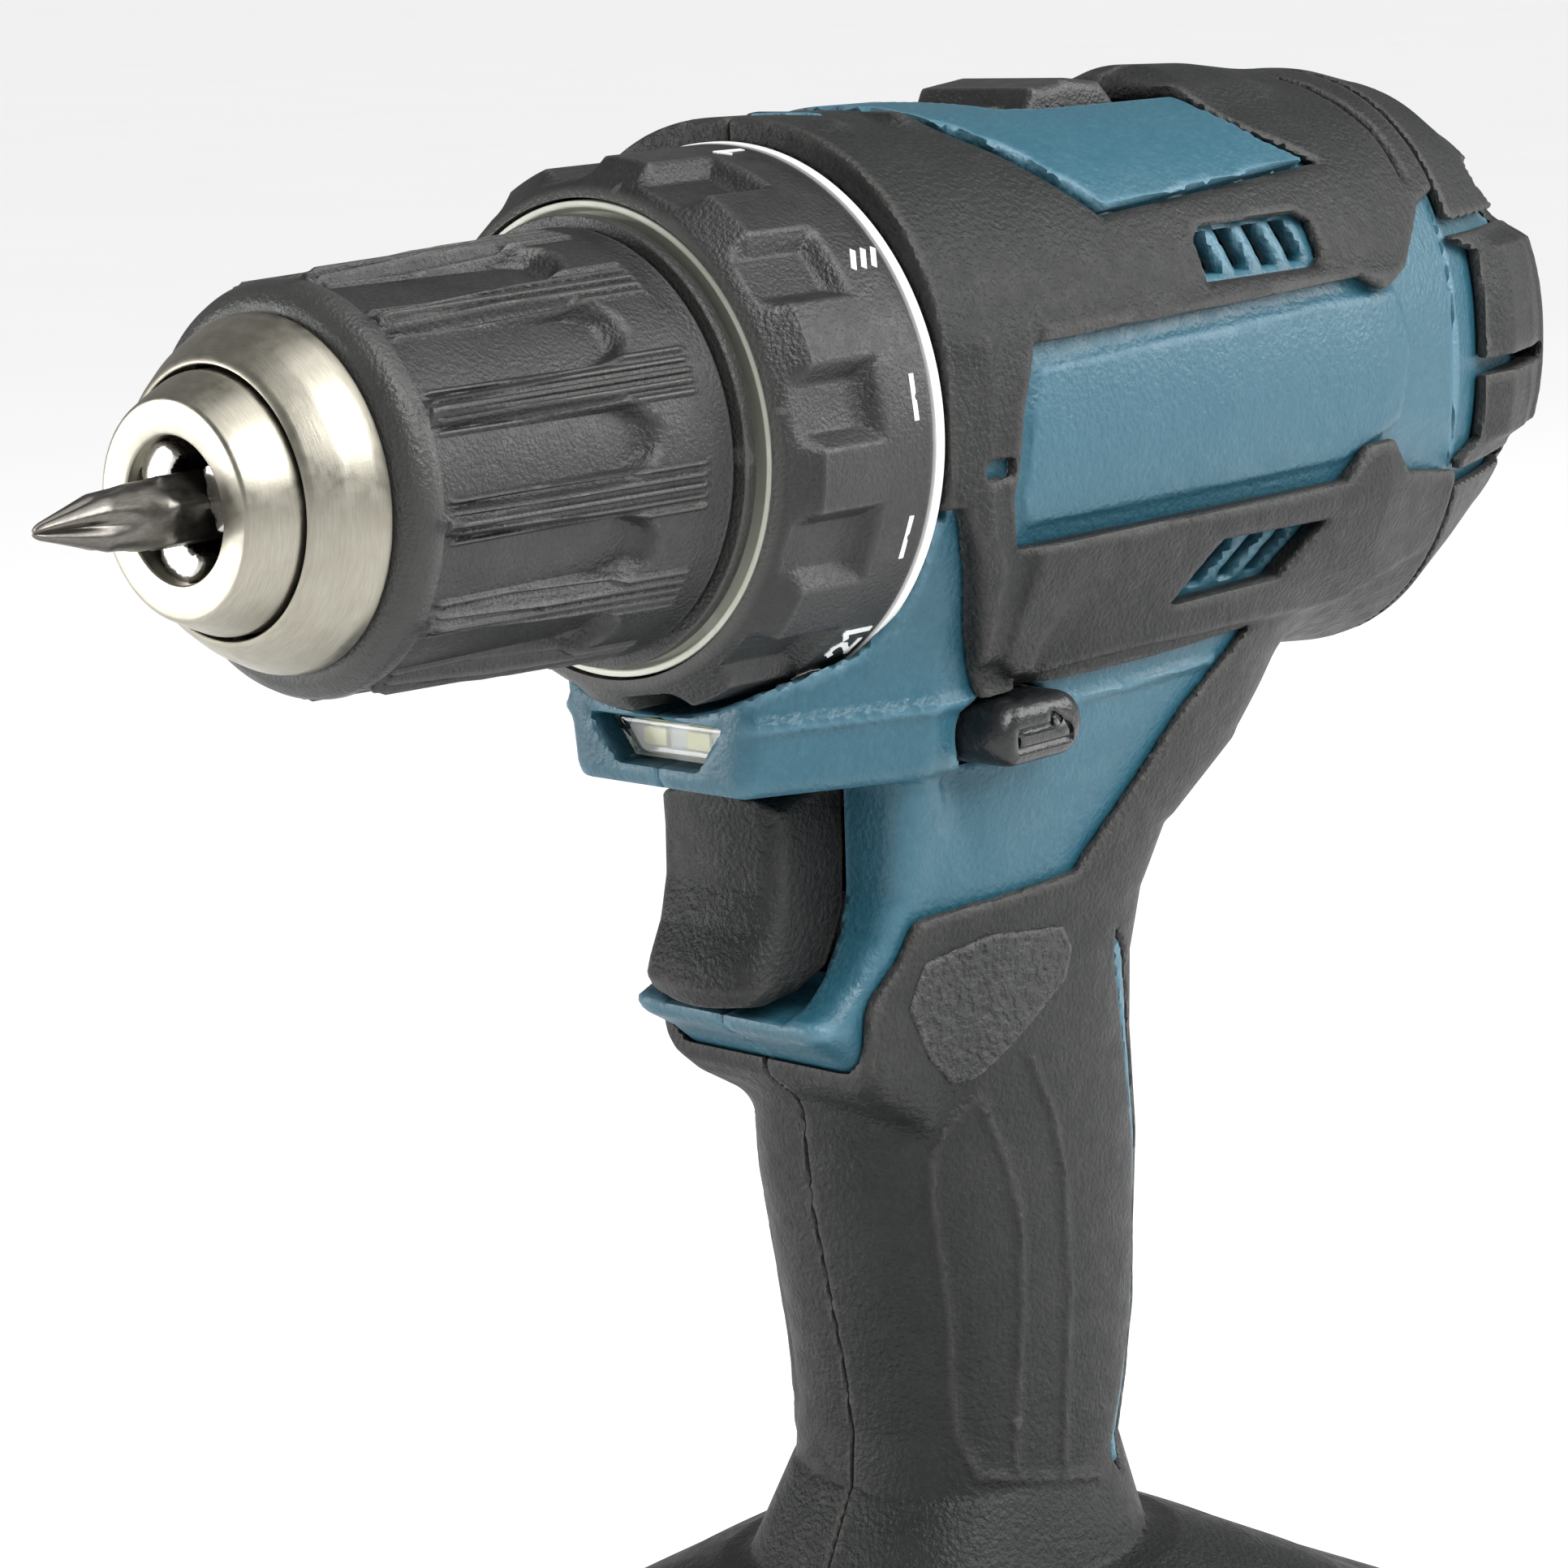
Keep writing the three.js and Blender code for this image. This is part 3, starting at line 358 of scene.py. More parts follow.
MATERIALS = {
    "teal": plastic(
        "teal_plastic", (0.0165, 0.083, 0.120), (0.085, 0.19, 0.25), 0.42,
        grain=1500.0, relief=0.8, specular=0.45, mottle=0.2),
    "soft_black": plastic(
        "soft_black_rubber", (0.0066, 0.0075, 0.0075), (0.05, 0.05, 0.047), 0.50,
        grain=1700.0, relief=1.0, specular=0.33, mottle=0.4, depth=0.0003),
    "coarse_black": plastic(
        "coarse_black_rubber", (0.008, 0.009, 0.009), (0.06, 0.06, 0.057), 0.5,
        grain=900.0, relief=1.0, depth=0.0012),
    "hard_black": plastic(
        "hard_black_plastic", (0.0085, 0.0088, 0.0088), (0.07, 0.07, 0.066), 0.42,
        grain=2300.0, relief=0.8),
    "gloss_black": plastic(
        "gloss_black_plastic", (0.005, 0.006, 0.007), (0.06, 0.06, 0.06), 0.26,
        grain=1500.0, relief=0.5, specular=0.4, mottle=0.2),
    "nickel": metal("satin_nickel", (0.40, 0.38, 0.32), (0.24, 0.22, 0.175), 0.36),
    "steel": metal(
        "bright_steel", (0.50, 0.49, 0.46), (0.26, 0.25, 0.23), 0.26, (2000.0, 2000.0, 2000.0)),
    "bit_steel": metal(
        "bit_steel", (0.17, 0.16, 0.145), (0.07, 0.066, 0.06), 0.33, (1200.0, 5000.0, 5000.0)),
    "cream": plastic(
        "cream_plastic", (0.66, 0.67, 0.56), (0.80, 0.80, 0.72), 0.40, grain=1500.0, relief=0.15),
    "white": plastic(
        "white_paint", (0.78, 0.79, 0.77), (0.9, 0.9, 0.88), 0.45,
        grain=2500.0, relief=0.15, specular=0.4, mottle=0.2),
    "lens": clear("clear_lens"),
    "board": plastic(
        "board_white", (0.80, 0.82, 0.78), (0.88, 0.88, 0.84), 0.45, grain=1500.0, relief=0.1),
    "led": plastic(
        "led_phosphor", (0.95, 0.92, 0.45), (0.95, 0.93, 0.6), 0.4, grain=1500.0, relief=0.1),
    "copper": metal("copper", (0.55, 0.27, 0.14), (0.30, 0.14, 0.07), 0.35),
    "magnet": plastic("magnet_grey", (0.055, 0.055, 0.06), (0.12, 0.12, 0.12), 0.6),
    "cell": plastic(
        "cell_green", (0.045, 0.20, 0.15), (0.16, 0.34, 0.28), 0.4, grain=1500.0, relief=0.1),
}
# The record's material slot of each finish.
# The finish of each material slot, for the CAD nodes that stay in view.
CAD_FINISH = {
    "teal_plastic": "teal", "soft_black": "soft_black", "hard_black": "hard_black",
    "gloss_black": "gloss_black", "satin_nickel": "nickel", "steel": "steel",
    "cream_plastic": "cream", "white_plastic": "white", "clear_lens": "lens",
    "board_green": "board", "brush_copper": "copper", "magnet_grey": "magnet",
    "cell_green": "cell",
}


def dress_cad_nodes():
    """Each CAD node that stays in view gets the material of its slot."""
    slot_of = {part["node"]: part["material_slot"] for part in frame["record"]["subparts"]}
    for name, obj in frame["nodes"].items():
        finish = MATERIALS[CAD_FINISH[slot_of[name]]]
        if not obj.data.materials:
            obj.data.materials.append(finish)
        for i in range(len(obj.material_slots)):
            obj.material_slots[i].material = finish


# ---- Camera, light and floor ----

def set_camera():
    azimuth, elevation, roll = (math.radians(a) for a in (133.05, 11.82, -2.3))
    sight = np.array([-math.sin(azimuth) * math.cos(elevation),
                      math.cos(azimuth) * math.cos(elevation), -math.sin(elevation)])
    level = np.array([math.cos(azimuth), math.sin(azimuth), 0])
    upright = np.array([-math.sin(elevation) * math.sin(azimuth),
                        math.sin(elevation) * math.cos(azimuth), math.cos(elevation)])
    right = level * math.cos(roll) + upright * math.sin(roll)
    up = upright * math.cos(roll) - level * math.sin(roll)
    data = bpy.data.cameras.new("camera")
    data.lens = 93.5
    data.sensor_width = 36
    data.clip_start = 0.01
    camera = bpy.data.objects.new("camera", data)
    turn = Matrix(np.stack([right, up, -sight], 1).tolist()).to_4x4()
    camera.matrix_world = Matrix.Translation((0.34799, 0.28963, 0.26462)) @ turn
    bpy.context.scene.collection.objects.link(camera)
    bpy.context.scene.camera = camera


def soft_light(name, place, aim, size, watts):
    data = bpy.data.lights.new(name, "AREA")
    data.shape = "RECTANGLE"
    data.size, data.size_y = size
    data.energy = watts
    light = bpy.data.objects.new(name, data)
    light.location = place
    direction = light.location - Matrix.Translation(aim).to_translation()
    light.rotation_euler = direction.to_track_quat("Z", "Y").to_euler()
    bpy.context.scene.collection.objects.link(light)


def set_stage():
    mesh = bpy.data.meshes.new("floor")
    reach = 60.0
    mesh.from_pydata([(-reach, -reach, 0), (reach, -reach, 0), (reach, reach, 0), (-reach, reach, 0)],
                     [], [(0, 1, 2, 3)])
    floor = bpy.data.objects.new("floor", mesh)
    n = Nodes("pale_floor")
    shade = n.mix(n.noise(3.0, 2.0), (0.93, 0.93, 0.93), (0.96, 0.96, 0.96))
    n.link(shade, n.shader.inputs["Base Color"])
    n.shader.inputs["Roughness"].default_value = 0.9
    mesh.materials.append(n.material)
    bpy.context.scene.collection.objects.link(floor)
    world = bpy.data.worlds.new("studio")
    world.use_nodes = True
    world.node_tree.nodes["Background"].inputs["Color"].default_value = (1.0, 1.0, 1.0, 1)
    world.node_tree.nodes["Background"].inputs["Strength"].default_value = 0.27
    bpy.context.scene.world = world
    aim = (0.0, 0.0, 0.19)
    soft_light("rear_box", (-0.85, 0.70, 0.62), aim, (0.6, 0.7), 9.0)
    soft_light("top_box", (0.0, 0.25, 1.1), aim, (0.9, 0.7), 4.0)
    soft_light("front_box", (0.75, -0.75, 0.26), aim, (0.4, 0.4), 5.0)
    sun = bpy.data.objects.new("daylight", bpy.data.lights.new("daylight", "SUN"))
    sun.data.energy = 3.3
    sun.data.angle = math.radians(40)
    sun.rotation_euler = (math.radians(-48), 0, math.radians(-8))
    bpy.context.scene.collection.objects.link(sun)
    bpy.context.scene.view_settings.view_transform = "Standard"


# ---- The body: barrel, grip and foot ----

# x, half width, top, bottom
BARREL = np.array([
    (-75, 27.4, 29.2, -28.5), (-86, 28.4, 29.0, -30), (-120, 29.2, 28.8, -31),
    (-150, 28.6, 29.0, -34), (-168, 26.3, 29.4, -36), (-178, 23.6, 27.4, -31.5),
    (-188, 20.4, 22.5, -26.5), (-194, 17.6, 17.0, -21.5), (-198, 14.5, 11.5, -15),
])[::-1]
HUMP = np.array([
    (-134, 13, 28.0, -10), (-137, 15.5, 31.8, -10), (-141, 17, 32.8, -10), (-150, 18, 32.5, -10),
    (-166, 16, 30.6, -10), (-170, 15, 28, -10),
])[::-1]
# z, front x, rear x, half width, power
GRIP = np.array([
    (-12, -78, -160, 22.5, 2.4), (-29, -78.4, -154, 22.5, 2.6), (-36.3, -79.4, -146, 21, 3.2),
    (-42, -79.6, -140, 19.6, 3.6), (-50, -79.8, -128.5, 17.6, 3.6), (-57, -80, -125.5, 16.6, 3.2),
    (-64.6, -80.4, -125, 15.8, 2.8), (-74, -81.8, -126, 15.3, 2.5),
    (-86.5, -82.8, -126.8, 15.2, 2.5), (-106.5, -87, -125, 15, 2.5), (-114.5, -88, -123, 15, 2.5),
    (-121, -87.6, -121, 15, 2.5), (-132.5, -81.5, -123, 18, 2.8), (-136.5, -75.5, -131, 26, 3.4),
    (-141, -68, -139, 33.6, 4.5), (-146, -63, -147, 36.8, 6), (-150, -61.5, -155.5, 37.6, 7),
    (-155, -61.5, -164, 37.8, 7), (-162, -61.5, -169, 37.8, 7),
])[::-1]


def between(table, column, at):
    return np.interp(at, table[:, 0], table[:, column]).astype(np.float32)


def evened(before, here, after):
    """A section's distance, shared out by how steeply its outline changes along the row."""
    return here / np.sqrt(1 + np.clip((after - before) ** 2, 0, 6))


def barrel(x, y, z, table=BARREL, power=2.25):
    def section(at):
        width, top, bottom = (between(table, i, at) for i in (1, 2, 3))
        return squircle_distance(y, z - (top + bottom) / 2, width, (top - bottom) / 2, power)

    return evened(section(x - 0.5), section(x), section(x + 0.5))


def grip(x, y, z):
    """The grip and the foot, as rounded sections from the barrel down."""
    def section(at):
        front, rear, width, power = (between(GRIP, i, at) for i in (1, 2, 3, 4))
        return squircle_distance(x - (front + rear) / 2, y, (front - rear) / 2, width, power)

    side = evened(section(z - 0.5), section(z), section(z + 0.5))
    return np.maximum(np.maximum(side, z + 12), FOOT_BOTTOM - z)


# The lamp nose and the lip under the trigger, seen from the side.
NOSE = [(-60.4, -14), (-60.4, -35.6), (-61.2, -36.9), (-75.4, -37.2), (-90, -37.2), (-90, -14)]
GUARD = [(-84, -36), (-78.8, -36), (-78.6, -50), (-77.3, -54.3), (-74.8, -58.2), (-71.8, -61.0),
         (-68.8, -62.0), (-68.2, -62.8), (-69, -64.2), (-73, -66.6), (-78.5, -71.5), (-86, -76),
         (-90, -50)]


def nose(x, y, z):
    """The block that holds the lamp and cradles the collar from below."""
    width = 22.6 - 0.10 * np.clip(-14 - z, 0, 30) - 0.42 * np.clip(x + 80, 0, 20)
    ridge = 0.9 * np.clip(1 - np.abs(z + 29.4) / 1.3, 0, 1)
    block = smooth_max(outline_distance(x, z, NOSE), np.abs(y) - width - ridge, 2.2)
    collar_room = COLLAR_ROOM_RADIUS - np.sqrt(y * y + z * z) - 99 * (x < COLLAR_ROOM_REAR)
    return smooth_max(block, collar_room, 0.8)


def guard(x, y, z):
    """The walls beside the trigger and the lip below it."""
    width = np.interp(z, (-76, -60, -50, -37), (12.5, 14.4, 16.6, 19.0)).astype(np.float32)
    return smooth_max(outline_distance(x, z, GUARD), np.abs(y) - width, 3.2)


def body(x, y, z):
    """The form under the rubber coat."""
    tube = np.maximum(np.maximum(barrel(x, y, z), x - HOUSING_FRONT), HOUSING_REAR - x)
    lower = smooth_min(grip(x, y, z), guard(x, y, z), 2.0)
    lower = smooth_min(lower, nose(x, y, z), 1.0)
    return smooth_min(tube, lower, 4.0)


# Outlines of the openings: the lamp from the front, the trigger from the side, the lever from
# above. Screws are seen from the side, and the cover's from behind.
LAMP_POCKET = [(-9.2, -29.6), (9.2, -29.6), (5.6, -34.4), (-5.6, -34.4)]
TRIGGER_ROOM = [(-40, -37.8), (-88, -37.8), (-88, -46.5), (-87.8, -52.8), (-85.0, -58.6),
                (-81.2, -61.4), (-76.5, -62.4), (-40, -62.4)]
LEVER_WELL = [(-100, 0), (-106, 8.8), (-112, 10.2), (-137.5, 10.2), (-141.0, 8.8), (-143.6, 0),
              (-141.0, -8.8), (-137.5, -10.2), (-112, -10.2), (-106, -8.8)]
HOUSING_SCREWS = [(-104, -31), (-144, -30), (-88, -72), (-95, -126)]
COVER_SCREWS = [(15.2, 15.2), (-15.2, 15.2)]
# Where the coat is open, seen from the side, and the raised faces inside those openings.
UPPER_VENT = [(-117.5, 10.9), (-138.0, 10.9), (-139.5, 12.0), (-139.5, 15.6), (-137.4, 16.6),
              (-119.6, 16.6), (-117.6, 15.4)]
LOWER_VENT = [(-113.5, -23.2), (-133.5, -22.8), (-138.5, -17.2), (-119.5, -16.8)]
SIDE_PANEL = [(-88, 7.4), (-85.6, 1), (-84.4, -8), (-86, -13.2), (-142, -13.0), (-146, -9.6),
              (-151, -9.4), (-155, -13.6), (-170, -15.5), (-170, 17.5), (-163, 15.5), (-156, 9.4),
              (-149, 7.4), (-145, 9.2)]
WEB_PANEL = [(-50, -8), (-77, -8), (-82, -20), (-86, -29.6), (-132, -28.6), (-121, -36),
             (-112, -46), (-106, -52), (-81, -52.8), (-79, -56.8), (-74.8, -61.2), (-68, -64.0),
             (-50, -64.2)]
TOP_PANEL = [(-86, 40), (-91, 30), (-97, 25.6), (-105, 18.8), (-147, 21.4), (-140, 25.2),
             (-136.5, 29), (-134, 40)]
SPINE = [(-114.8, -60.5), (-118, -64), (-121.0, -75), (-122.6, -86), (-122.8, -98), (-120.3, -111),
         (-114.6, -124.5), (-113.2, -122.5), (-118.4, -110), (-120.6, -98), (-120.4, -86),
         (-118.6, -75), (-115, -64)]
SIDE_FACE = [(-89, 5.5), (-87.2, 1), (-86, -8), (-87.4, -11.6), (-142, -11.4), (-154, -8),
             (-156.6, 0), (-154, 7.5), (-140, 7.6)]
WEB_LEDGE = [(-89, -32.4), (-126, -31.4)]
HUMP_SLIT = [(-161, 31), (-163, 24), (-162.5, 19)]
THUMB_PATCH = [(-82.5, -57.6), (-91.5, -56.2), (-103.5, -57.6), (-105.4, -60.5), (-104.6, -64),
               (-91.5, -72.5), (-88.5, -72.8), (-84.5, -69), (-80.6, -62.5)]


def hollow(x, y, z):
    """The room inside the body."""
    room = np.maximum(barrel(x, y, z), x + 79)
    lower = np.maximum(grip(x, y, z), -148 - z)
    lower = np.maximum(lower, np.where(z > -39, x + 79, -999))
    room = np.minimum(room, lower) + WALL
    room = np.minimum(room, np.maximum(rod_distance(y, z, (0, 0), GEAR_ROOM_RADIUS), -103.5 - x))
    return np.maximum(room, HOUSING_REAR - 1.5 - x)


def vent_slots(x, z):
    """Four slanted slots behind each opening in the coat."""
    result = np.float32(1e9)
    pitch, half_width, half_height = 5.2, 1.45, 2.2
    for first, height, lean in ((-120.6, 13.7, -0.25), (-117.9, -19.9, 0.85)):
        for i in range(4):
            across = np.abs(x - (first - pitch * i) + lean * (z - height)) - half_width
            result = np.minimum(result, np.maximum(across, np.abs(z - height) - half_height))
    return result


def openings(x, y, z):
    """Everything cut out of both the housing and its coat."""
    rail = box_distance(x, y, z, (-153, -30.5, -160), (-40, 30.5, -150.5), 0.4)
    neck = box_distance(x, y, z, (-153, -26, -172), (-40, 26, -159), 0.4)
    trigger = smooth_max(outline_distance(x, z, TRIGGER_ROOM), np.abs(y) - TRIGGER_HALF_ROOM, 0.8)
    reverser = box_distance(x, y, z, (-98.9, -50, -37.0), (-84.1, 50, -29.2), 3.4)
    slots = np.maximum(vent_slots(x, z), 18 - np.abs(y))
    result = np.minimum(np.minimum(rail, neck), np.minimum(trigger, reverser))
    return np.minimum(result, slots)


def screw_wells(x, y, z, radius):
    """Round wells for the screws of the right-hand half."""
    nearest = np.float32(1e9)
    for centre in HOUSING_SCREWS:
        nearest = np.minimum(nearest, rod_distance(x, z, centre, radius))
    return np.maximum(nearest, 12 - y)


def panel_rise(x, y, z):
    """How far the bare panels, the web's ledge and the spine stand up from the body."""
    top = np.clip(-outline_distance(x, z, TOP_PANEL) / 0.9, 0, 1) * 2.0 * (z > 10)
    side = np.clip(-outline_distance(x, z, SIDE_FACE) / 0.8, 0, 1) * 0.7
    ledge = np.clip(1 - line_distance(x, z, WEB_LEDGE) / 1.1, 0, 1) * 0.8
    spine = np.clip(-outline_distance(x, z, SPINE) / 0.5, 0, 1) * 1.3
    return top + side + ledge * (z < -20) + spine


def housing(x, y, z, screws):
    """One half of the housing. screws cuts the wells of the right-hand half."""
    outside = body(x, y, z) - panel_rise(x, y, z)
    outside = np.maximum(outside, np.where(z > FLANGE_TOP, x + 76.5, -999))
    neck = np.maximum(x - NECK_FRONT, -77 - x)
    outside = np.minimum(outside, np.maximum(rod_distance(y, z, (0, 0), NECK_RADIUS), neck))
    well = np.maximum(outline_distance(x, y, LEVER_WELL), 25.4 - z)
    slot = box_distance(x, y, z, (-137.5, -4.5, 18), (-106, 4.5, 40), 1)
    lamp = np.maximum(outline_distance(y, z, LAMP_POCKET), -67 - x)
    shell = smooth_max(outside, -hollow(x, y, z), 0.6)
    for cut in (well, lamp, openings(x, y, z)):
        shell = smooth_max(shell, -cut, 0.7)
    shell = np.maximum(shell, -slot)
    if screws:
        shell = smooth_max(shell, -screw_wells(x, y, z, SCREW_WELL_RADIUS), 0.5)
    return np.maximum(shell, 0.04 - y)


# The flat faces of the coat around the barrel: the angle of each face's outward normal above
# the tool's left, and its distance from the spindle.
COAT_FACES = [(90, 31.2), (50.9, 31.0), (31, 30.7), (0, 30.5), (-19.4, 33.7), (-62, 36.0)]
# x, and how far the faces move out there.
COAT_STEPS = ((-170, -150, -89.5, -87.2, -85.2, -80.5, -76.6, -75),
              (-1.0, 0, 0, -1.5, -1.5, 0.4, 0, -1.0))


def coat_outside(x, y, z, base):
    """The barrel's flat coat faces, with a skin over the rest of the body."""
    shift = np.interp(x, *COAT_STEPS).astype(np.float32) + between(BARREL, 1, x) - 29.2
    faces = np.float32(-999)
    for angle, reach in COAT_FACES:
        across = y * math.cos(math.radians(angle)) + z * math.sin(math.radians(angle))
        faces = smooth_max(faces, across - reach - shift, 0.5)
    skin = base - COAT
    return np.where(z > -36, smooth_min(skin, np.maximum(faces, base - 3.0), 0.3), skin)


def grip_lines(x, z):
    """Thin raised lines on each side of the grip."""
    lines = [
        [(-91.6, -74.5), (-95.3, -82.7), (-97.1, -89.6), (-97.4, -100), (-96.1, -119)],
        [(-99, -71.7), (-102.5, -79), (-104.3, -86.8), (-104.8, -100), (-103, -121)],
        [(-91.6, -74.5), (-88, -77.5), (-86.6, -81), (-86.8, -86), (-89, -99.8), (-90.2, -113.5),
         (-92, -118.5), (-109.4, -122.9)],
    ]
    nearest = np.float32(1e9)
    for line in lines:
        nearest = np.minimum(nearest, line_distance(x, z, line))
    return nearest


def bare_areas(x, y, z):
    """Where the coat leaves the housing bare."""
    bare = np.minimum(outline_distance(x, z, SIDE_PANEL), outline_distance(x, z, WEB_PANEL))
    bare = np.minimum(bare, np.maximum(outline_distance(x, z, TOP_PANEL), 6 - z))
    bare = np.minimum(bare, outline_distance(x, z, SPINE))
    for vent in (UPPER_VENT, LOWER_VENT):
        bare = np.minimum(bare, np.maximum(outline_distance(x, z, vent), 14 - y))
    slit = np.abs(line_distance(x, z, HUMP_SLIT)) - 0.5
    window = box_distance(x, y, z, (-84, 15, -5.4), (-80, 50, -3.6), 0.3)
    return np.minimum(np.minimum(bare, np.maximum(slit, 6 - y)), window)


def coat(x, y, z, screws):
    """One half of the rubber coat. screws cuts the wells of the right-hand half."""
    base = body(x, y, z)
    outer = coat_outside(x, y, z, base) - 0.5 * np.clip(1 - grip_lines(x, z) / 0.8, 0, 1)
    hump = np.maximum(barrel(x, y, z, HUMP), np.maximum(x + 134.2, 6 - z))
    skin = smooth_max(smooth_min(outer, hump, 1.0), -bare_areas(x, y, z), 0.9)
    around_neck = np.maximum(FLANGE_TOP - z, 25.3 - np.sqrt(y * y + z * z))
    around_neck = np.maximum(np.maximum(x + 74.8, around_neck), -76.3 - x)
    under = np.where((z > FLANGE_TOP) & (x > -76.3), around_neck, 0.15 - base)
    skin = np.maximum(skin, under)
    skin = smooth_max(skin, np.maximum(x + 74.8, HOUSING_REAR - x), 0.6)
    skin = smooth_max(skin, -openings(x, y, z), 0.6)
    skin = np.maximum(skin, FOOT_BOTTOM + 0.2 - z)
    if screws:
        skin = smooth_max(skin, -screw_wells(x, y, z, SCREW_WELL_RADIUS + 0.5), 0.5)
    return np.maximum(skin, 0.06 - y)


def make_housing():
    lo, hi = (-169.5, -1.5, -163.5), (-58.5, 41.5, 35.5)
    for side, screws in (("left", False), ("right", True)):
        moulded(f"housing_shell_{side}", lambda x, y, z: housing(x, y, z, screws), lo, hi,
                "teal", "housing", [f"housing_{side}"], SHELL_STEP, mirrored=screws)
        moulded(f"rubber_coat_{side}", lambda x, y, z: coat(x, y, z, screws), lo, hi,
                "soft_black", "housing", [f"grip_coat_{side}"], mirrored=screws)


def make_grip_pads():
    """A coarse-grained thumb pad on each side of the grip."""
    def pad(x, y, z):
        above = coat_outside(x, y, z, body(x, y, z)) - 0.3
        return smooth_max(outline_distance(x, z, THUMB_PATCH), np.maximum(above, -1.2 - above), 0.5)

    lo, hi = (-108, 6, -75), (-78, 20, -54)
    for side in ("left", "right"):
        moulded(f"thumb_pad_{side}", pad, lo, hi, "coarse_black", "housing",
                step=0.45, mirrored=side == "right")


def make_pointer():
    """The blue triangle the collar's numbers turn past."""
    def pointer(x, y, z):
        above = coat_outside(x, y, z, body(x, y, z)) - 0.15
        mark = outline_distance(x, y, [(-78.6, 0), (-84.4, 5.2), (-84.4, -5.2)])
        return np.maximum(mark, np.maximum(above, 28.0 - z))

    moulded("pointer_mark", pointer, (-86, -6.5, 27.5), (-77, 6.5, 32.5), "teal", "housing", step=0.4)


def make_rear():
    def cover(x, y, z):
        outside = np.maximum(np.maximum(barrel(x, y, z), x - COVER_FRONT), -197.8 - x)
        room = np.maximum(barrel(x, y, z) + WALL, -192 - x)
        shell = smooth_max(outside, -room, 0.5)
        for y0, z0 in COVER_SCREWS:
            well = np.maximum(rod_distance(y, z, (y0, z0), 3.5), x + 173.4)
            post = np.maximum(np.maximum(rod_distance(y, z, (y0, z0), 4.2), outside), -190 - x)
            shell = smooth_max(np.minimum(shell, post), -well, 0.4)
        return shell

    def bumper(x, y, z):
        base = barrel(x, y, z)
        block = np.clip((12.5 - np.abs(z + 1.5)) / 1.5, 0, 1)
        thick = 1.8 + 1.6 * block * np.clip((-176 - x) / 5, 0, 1)
        skin = np.maximum(base - thick, 0.15 - base)
        skin = smooth_max(skin, np.maximum(x + 168.6 + 6.4 * block, -197.9 - x), 0.6)
        for height in (12.6, -4.0, -16.2):
            stripe = box_distance(x, y, z, (-194, -80, height - 0.9), (-160, 80, height + 0.9), 0.3)
            skin = smooth_max(skin, -stripe, 0.5)
        for centre in COVER_SCREWS:
            skin = smooth_max(skin, -rod_distance(y, z, centre, 3.9), 0.4)
        return skin

    lo, hi = (-199, -31.5, -39), (-167, 31.5, 33)
    moulded("rear_cover_shell", cover, lo, hi, "teal", "housing", ["rear_cover"])
    moulded("rear_bumper_rubber", bumper, lo, hi, "soft_black", "housing", ["rear_bumper"])


# ---- Chuck and collar ----

def fold(angle, first, pitch=30.0):
    """Signed angle to the nearest of a ring of marks, in degrees."""
    return (angle - first + pitch / 2) % pitch - pitch / 2


def sleeve_radius(radius, x, angle):
    """The sleeve's outside: twelve pockets, and five fine ribs between each pair."""
    depth = -x
    if radius[0] < 19:
        return radius
    off = np.abs(fold(angle, 21.0)) * math.pi / 180 * 20.5
    half = 3.9 - 1.3 * (depth - 16) / 26
    reach = np.clip((42.5 - depth) / 2.2, 0, 1) * np.clip((depth - 15.2) / 0.3, 0, 1)
    floor = 19.15
    arch = 1 if depth < 38 else max(0.05, (42 - depth) / 4) ** 0.5
    wall = np.clip((off - half * arch) / 1.25, 0, 1)
    pocket = floor + (radius - floor) * wall
    shaped = radius + (np.minimum(pocket, radius) - radius) * reach
    across = fold(angle, 36.0) * math.pi / 180 * 20.5
    ribs = (np.abs(across) < 2.6) * np.clip((np.cos(across / 1.04 * 2 * math.pi) + 0.5) / 1.2, 0, 1)
    along = np.clip((depth - 16.2) / 0.6, 0, 1) * np.clip((48.2 - depth) / 0.8, 0, 1)
    return shaped + 0.38 * ribs * along


def collar_radius(radius, x, angle):
    """The collar's outside: twelve pockets, open to the front."""
    depth = -x
    if radius[0] < 25.3 or depth > 68.5:
        return radius
    off = np.abs(fold(angle, 21.0)) * math.pi / 180 * 27.5
    wall = np.clip((off - 2.5) / 1.7, 0, 1)
    end = np.clip((depth - 64.4) / 1.8, 0, 1)
    floor = 26.0 + 0.02 * (depth - 56)
    chord = floor / np.cos(np.radians(fold(angle, 21.0)))
    shaped = chord + (radius - chord) * np.maximum(wall, end)
    return np.minimum(shaped, radius)


def steps(first, last, size):
    count = max(2, int(abs(last - first) / size) + 1)
    return list(np.linspace(first, last, count))


